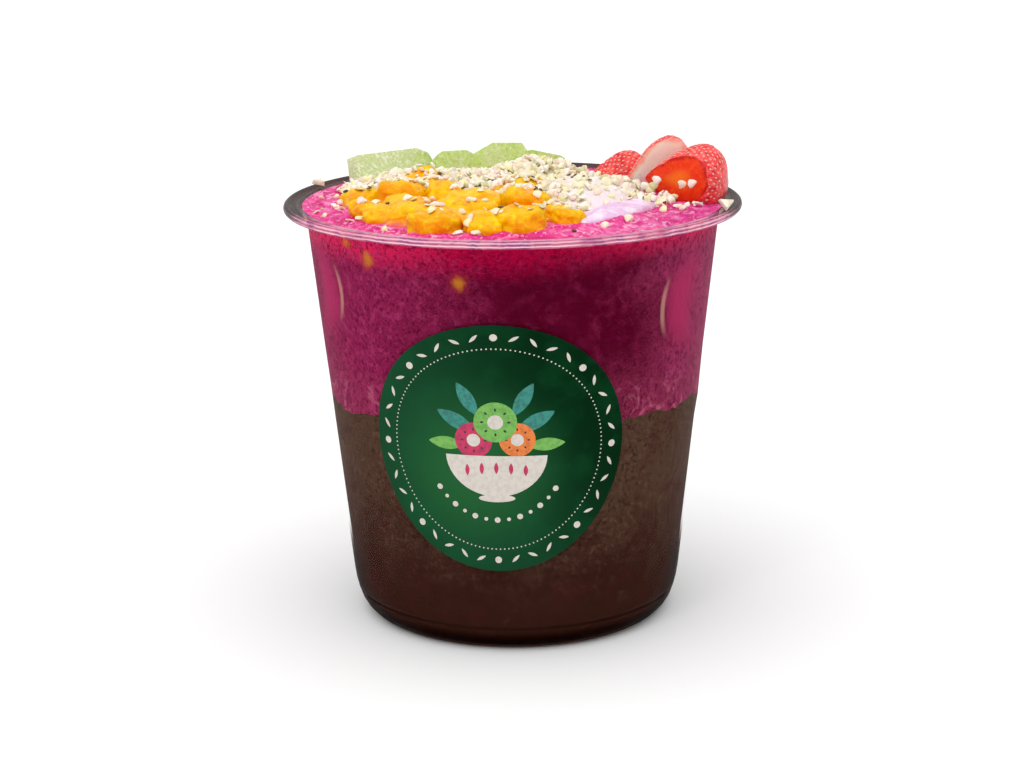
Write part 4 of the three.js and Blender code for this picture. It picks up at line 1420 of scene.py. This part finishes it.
class ACAI_OT_hemp(bpy.types.Operator):
    """Make the heap of hemp seed and the seeds that lie about, after all they fall on"""

    bl_idname = "acai.hemp"
    bl_label = "Hemp seed"

    def execute(self, context):
        toppings = context.scene.acai_toppings
        if not SURFACES:
            raise RuntimeError("make the layers, the fruit and the yoghurt first")
        core = mound(HEMP_HEAP, 0.8, 2.6)
        joined(core, mound(HEMP_HILL, 0.8, 2.6))
        keep_surface("heap", core)
        ground = plain_look("hemp_core", toppings.seed, "dccda0", 1.4, 0.6, 0.8)
        finish_piece(core, "hemp_heap", [ground], ("hemp_seed_heap",))
        seeds, hulls = bmesh.new(), bmesh.new()
        shade = seeds.verts.layers.float.new("shade")
        random = stream(4711)

        def sow(place, shape):
            tone = next(random)
            one = move(heart(shape, random), place)
            first = len(seeds.verts)
            joined(seeds, one)
            seeds.verts.ensure_lookup_table()
            for vert in seeds.verts[first:]:
                vert[shade] = tone

        def scatter(x, y, pile, kinds):
            """Lets one seed, flake, crumb or scrap of hull fall at a place."""
            lift, size, pick, roll = (next(random) for _ in range(4))
            found = drop(x, y)
            if not found or found[2] not in kinds or math.hypot(x, y) > SOWN_TO:
                return
            point, normal, _ = found
            if normal.z < TOO_STEEP:
                return
            size = 0.74 + 0.4 * size
            wild = 1.3 * (2.0 if pile > 0.5 else 1.0)
            tip = Euler((wild * (lift - 0.5), wild * (roll - 0.5), 0))
            at = point + normal * (0.3 * size + pile * lift)
            place = placing(at, x=(*circling(1, 40 * pick), 0.01), z=normal)
            place = place @ tip.to_matrix().to_4x4()
            if 0.45 < pick < 0.5:
                joined(hulls, blob(place, (0.8 * size, 0.5 * size, 0.2), 1))
                return
            for most, shape in FALLEN:
                if pick < most:
                    sow(place, Vector(shape) * size)
                    return

        for place in set_seeds():
            sow(place, WHOLE)
        for x, y in SINGLES:
            sow(resting(x, y, 0.4, (1, 0.3, 0)), SINGLE)
        for at in ON_THE_FACE:
            sow(placing(at, x=(0.8, -0.6, 0.3), z=(-0.6, -0.79, 0.1)), FACED)
        for (x0, y0), (dx, dy), count, pile, kinds in PATCHES:
            for _ in range(count or toppings.heap_seeds):
                angle, out = 2 * math.pi * next(random), math.sqrt(next(random))
                x, y = x0 + dx * out * math.cos(angle), y0 + dy * out * math.sin(angle)
                scatter(x, y, pile, kinds)
        for x, y in DARK_BITS:
            place = resting(x, y, 0.3, (*circling(1, x), 0.2))
            joined(hulls, blob(place, DARK_BIT, 1))
        finish_piece(seeds, "hemp_seeds", [seed_look(toppings)], sharp=45)
        look = plain_look("hemp_hull", toppings.hull, "6b4a26", 0.9, 0.5, 0.05)
        finish_piece(hulls, "hemp_hulls", [look])
        return {"FINISHED"}


# ---- Nut chips

NUT_CHIPS = {
    "nut_chip_left": placing((-51.2, 20.8, 109.6), (12, 6, 62)),
    "nut_chip_right": placing((52.9, -22.4, 110.5), (56, 4, 6)),
}
NUT_RADIUS, NUT_TAPER, NUT_THICKNESS = 2.4, 0.86, 1.3


class ACAI_OT_nuts(bpy.types.Operator):
    """Make the nut chips on the rim"""

    bl_idname = "acai.nuts"
    bl_label = "Nut chips"

    def execute(self, context):
        nut = context.scene.acai_toppings.nut
        look = plain_look("nut_chip", nut, "e2d3ad", 1.2, 0.5, 0.12)
        for seed, (name, place) in enumerate(NUT_CHIPS.items()):
            bm = bmesh.new()
            bmesh.ops.create_cone(
                bm,
                cap_ends=True,
                segments=3,
                radius1=NUT_RADIUS,
                radius2=NUT_RADIUS * NUT_TAPER,
                depth=NUT_THICKNESS,
            )
            # The first corner points along -Y.
            bmesh.ops.rotate(bm, matrix=Matrix.Rotation(math.pi, 3, "Z"), verts=bm.verts)
            bmesh.ops.scale(bm, vec=(1, 0.8, 1), verts=bm.verts)
            soften(bm, bm.edges[:], 0.12, 3)
            bmesh.ops.triangulate(bm, faces=bm.faces[:])
            bmesh.ops.subdivide_edges(bm, edges=bm.edges[:], cuts=3)
            for vert in bm.verts:
                vert.co += vert.co.normalized() * 0.1 * roughen(vert.co, 1.2, seed)
            finish_piece(move(bm, place), "cut_" + name, [look], (name,))
        return {"FINISHED"}


# ---- Stage


FOCAL_LENGTH, FRAME_WIDTH = 2415.523, 1024  # in pixels
SENSOR = 36  # its width in mm


def set_up(name, data, at=(0, 0, 0), ahead=(0, 0, -1)):
    """Puts a mesh, a lamp or a camera in the scene, pointing along a direction."""
    obj = bpy.data.objects.new(name, data)
    obj.location = at
    obj.rotation_euler = Vector(ahead).to_track_quat("-Z", "Y").to_euler()
    bpy.context.scene.collection.objects.link(obj)
    return obj


class ACAI_OT_stage(bpy.types.Operator):
    """Make the pale floor, the soft lights and the camera"""

    bl_idname = "acai.stage"
    bl_label = "Stage"

    def execute(self, context):
        scene, stage = context.scene, context.scene.acai_stage
        bm = bmesh.new()
        bmesh.ops.create_circle(bm, cap_ends=True, segments=64, radius=12)
        mesh = bpy.data.meshes.new("floor")
        bm.to_mesh(mesh)
        bm.free()
        floor = set_up("floor", mesh)
        mesh.materials.append(Look("floor", stage.floor, 0.9).material)

        world = bpy.data.worlds.new("studio")
        world.use_nodes = True
        sky = world.node_tree.nodes["Background"].inputs
        sky["Color"].default_value = (1, 1, 1, 1)
        sky["Strength"].default_value = stage.sky
        scene.world = world
        sun = bpy.data.lights.new("sun", "SUN")
        sun.energy, sun.angle = stage.sun, math.radians(75)
        set_up("sun", sun, ahead=(0.06, 0.24, -1.0))
        key = bpy.data.lights.new("key", "AREA")
        key.shape, key.size, key.energy = "SQUARE", 0.22, stage.key_power
        at = Vector((-0.5, -0.8, 0.75))
        set_up("key", key, at, Vector((0, 0, 0.09)) - at)

        camera = set_up("camera", bpy.data.cameras.new("camera"))
        camera.data.lens = FOCAL_LENGTH * SENSOR / FRAME_WIDTH
        camera.data.sensor_width = SENSOR
        camera.data.clip_end = 50
        right = Vector((0.99994105, -0.00167865, -0.0107278))
        up = Vector((0.01080712, 0.24969772, 0.96826353))
        ahead = Vector((-0.00105333, 0.96832238, -0.24970114))
        turned = Matrix((right, up, -ahead)).transposed().to_4x4()
        camera.matrix_world = Matrix.Translation((0, -0.612271, 0.217017)) @ turned
        scene.camera = camera
        scene.view_settings.view_transform = "Standard"
        return {"FINISHED"}


# ---- Add-on

STEPS = (
    ACAI_OT_cup,
    ACAI_OT_layers,
    ACAI_OT_sticker,
    ACAI_OT_mango,
    ACAI_OT_kiwi,
    ACAI_OT_strawberries,
    ACAI_OT_yoghurt,
    ACAI_OT_hemp,
    ACAI_OT_nuts,
    ACAI_OT_stage,
)
SETTINGS = {
    "acai_cup": CupSettings,
    "acai_fill": FillSettings,
    "acai_sticker": StickerSettings,
    "acai_toppings": ToppingSettings,
    "acai_stage": StageSettings,
}


class ACAI_PT_panel(bpy.types.Panel):
    """Lists the settings and the steps"""

    bl_idname = "ACAI_PT_panel"
    bl_label = "Acai Bowl"
    bl_space_type = "VIEW_3D"
    bl_region_type = "UI"
    bl_category = "Acai Bowl"

    def draw(self, context):
        for name, kind in SETTINGS.items():
            box = self.layout.box()
            for key in kind.__annotations__:
                box.prop(getattr(context.scene, name), key)
        for step in STEPS:
            self.layout.operator(step.bl_idname)


def register():
    for kind in (*SETTINGS.values(), *STEPS, ACAI_PT_panel):
        bpy.utils.register_class(kind)
    for name, kind in SETTINGS.items():
        setattr(bpy.types.Scene, name, PointerProperty(type=kind))


def unregister():
    for name in SETTINGS:
        delattr(bpy.types.Scene, name)
    for kind in reversed((*SETTINGS.values(), *STEPS, ACAI_PT_panel)):
        bpy.utils.unregister_class(kind)


def main():
    register()
    for step in STEPS:
        getattr(bpy.ops.acai, step.bl_idname.removeprefix("acai."))()
    bpy.context.view_layer.update()


if __name__ == "__main__":
    main()
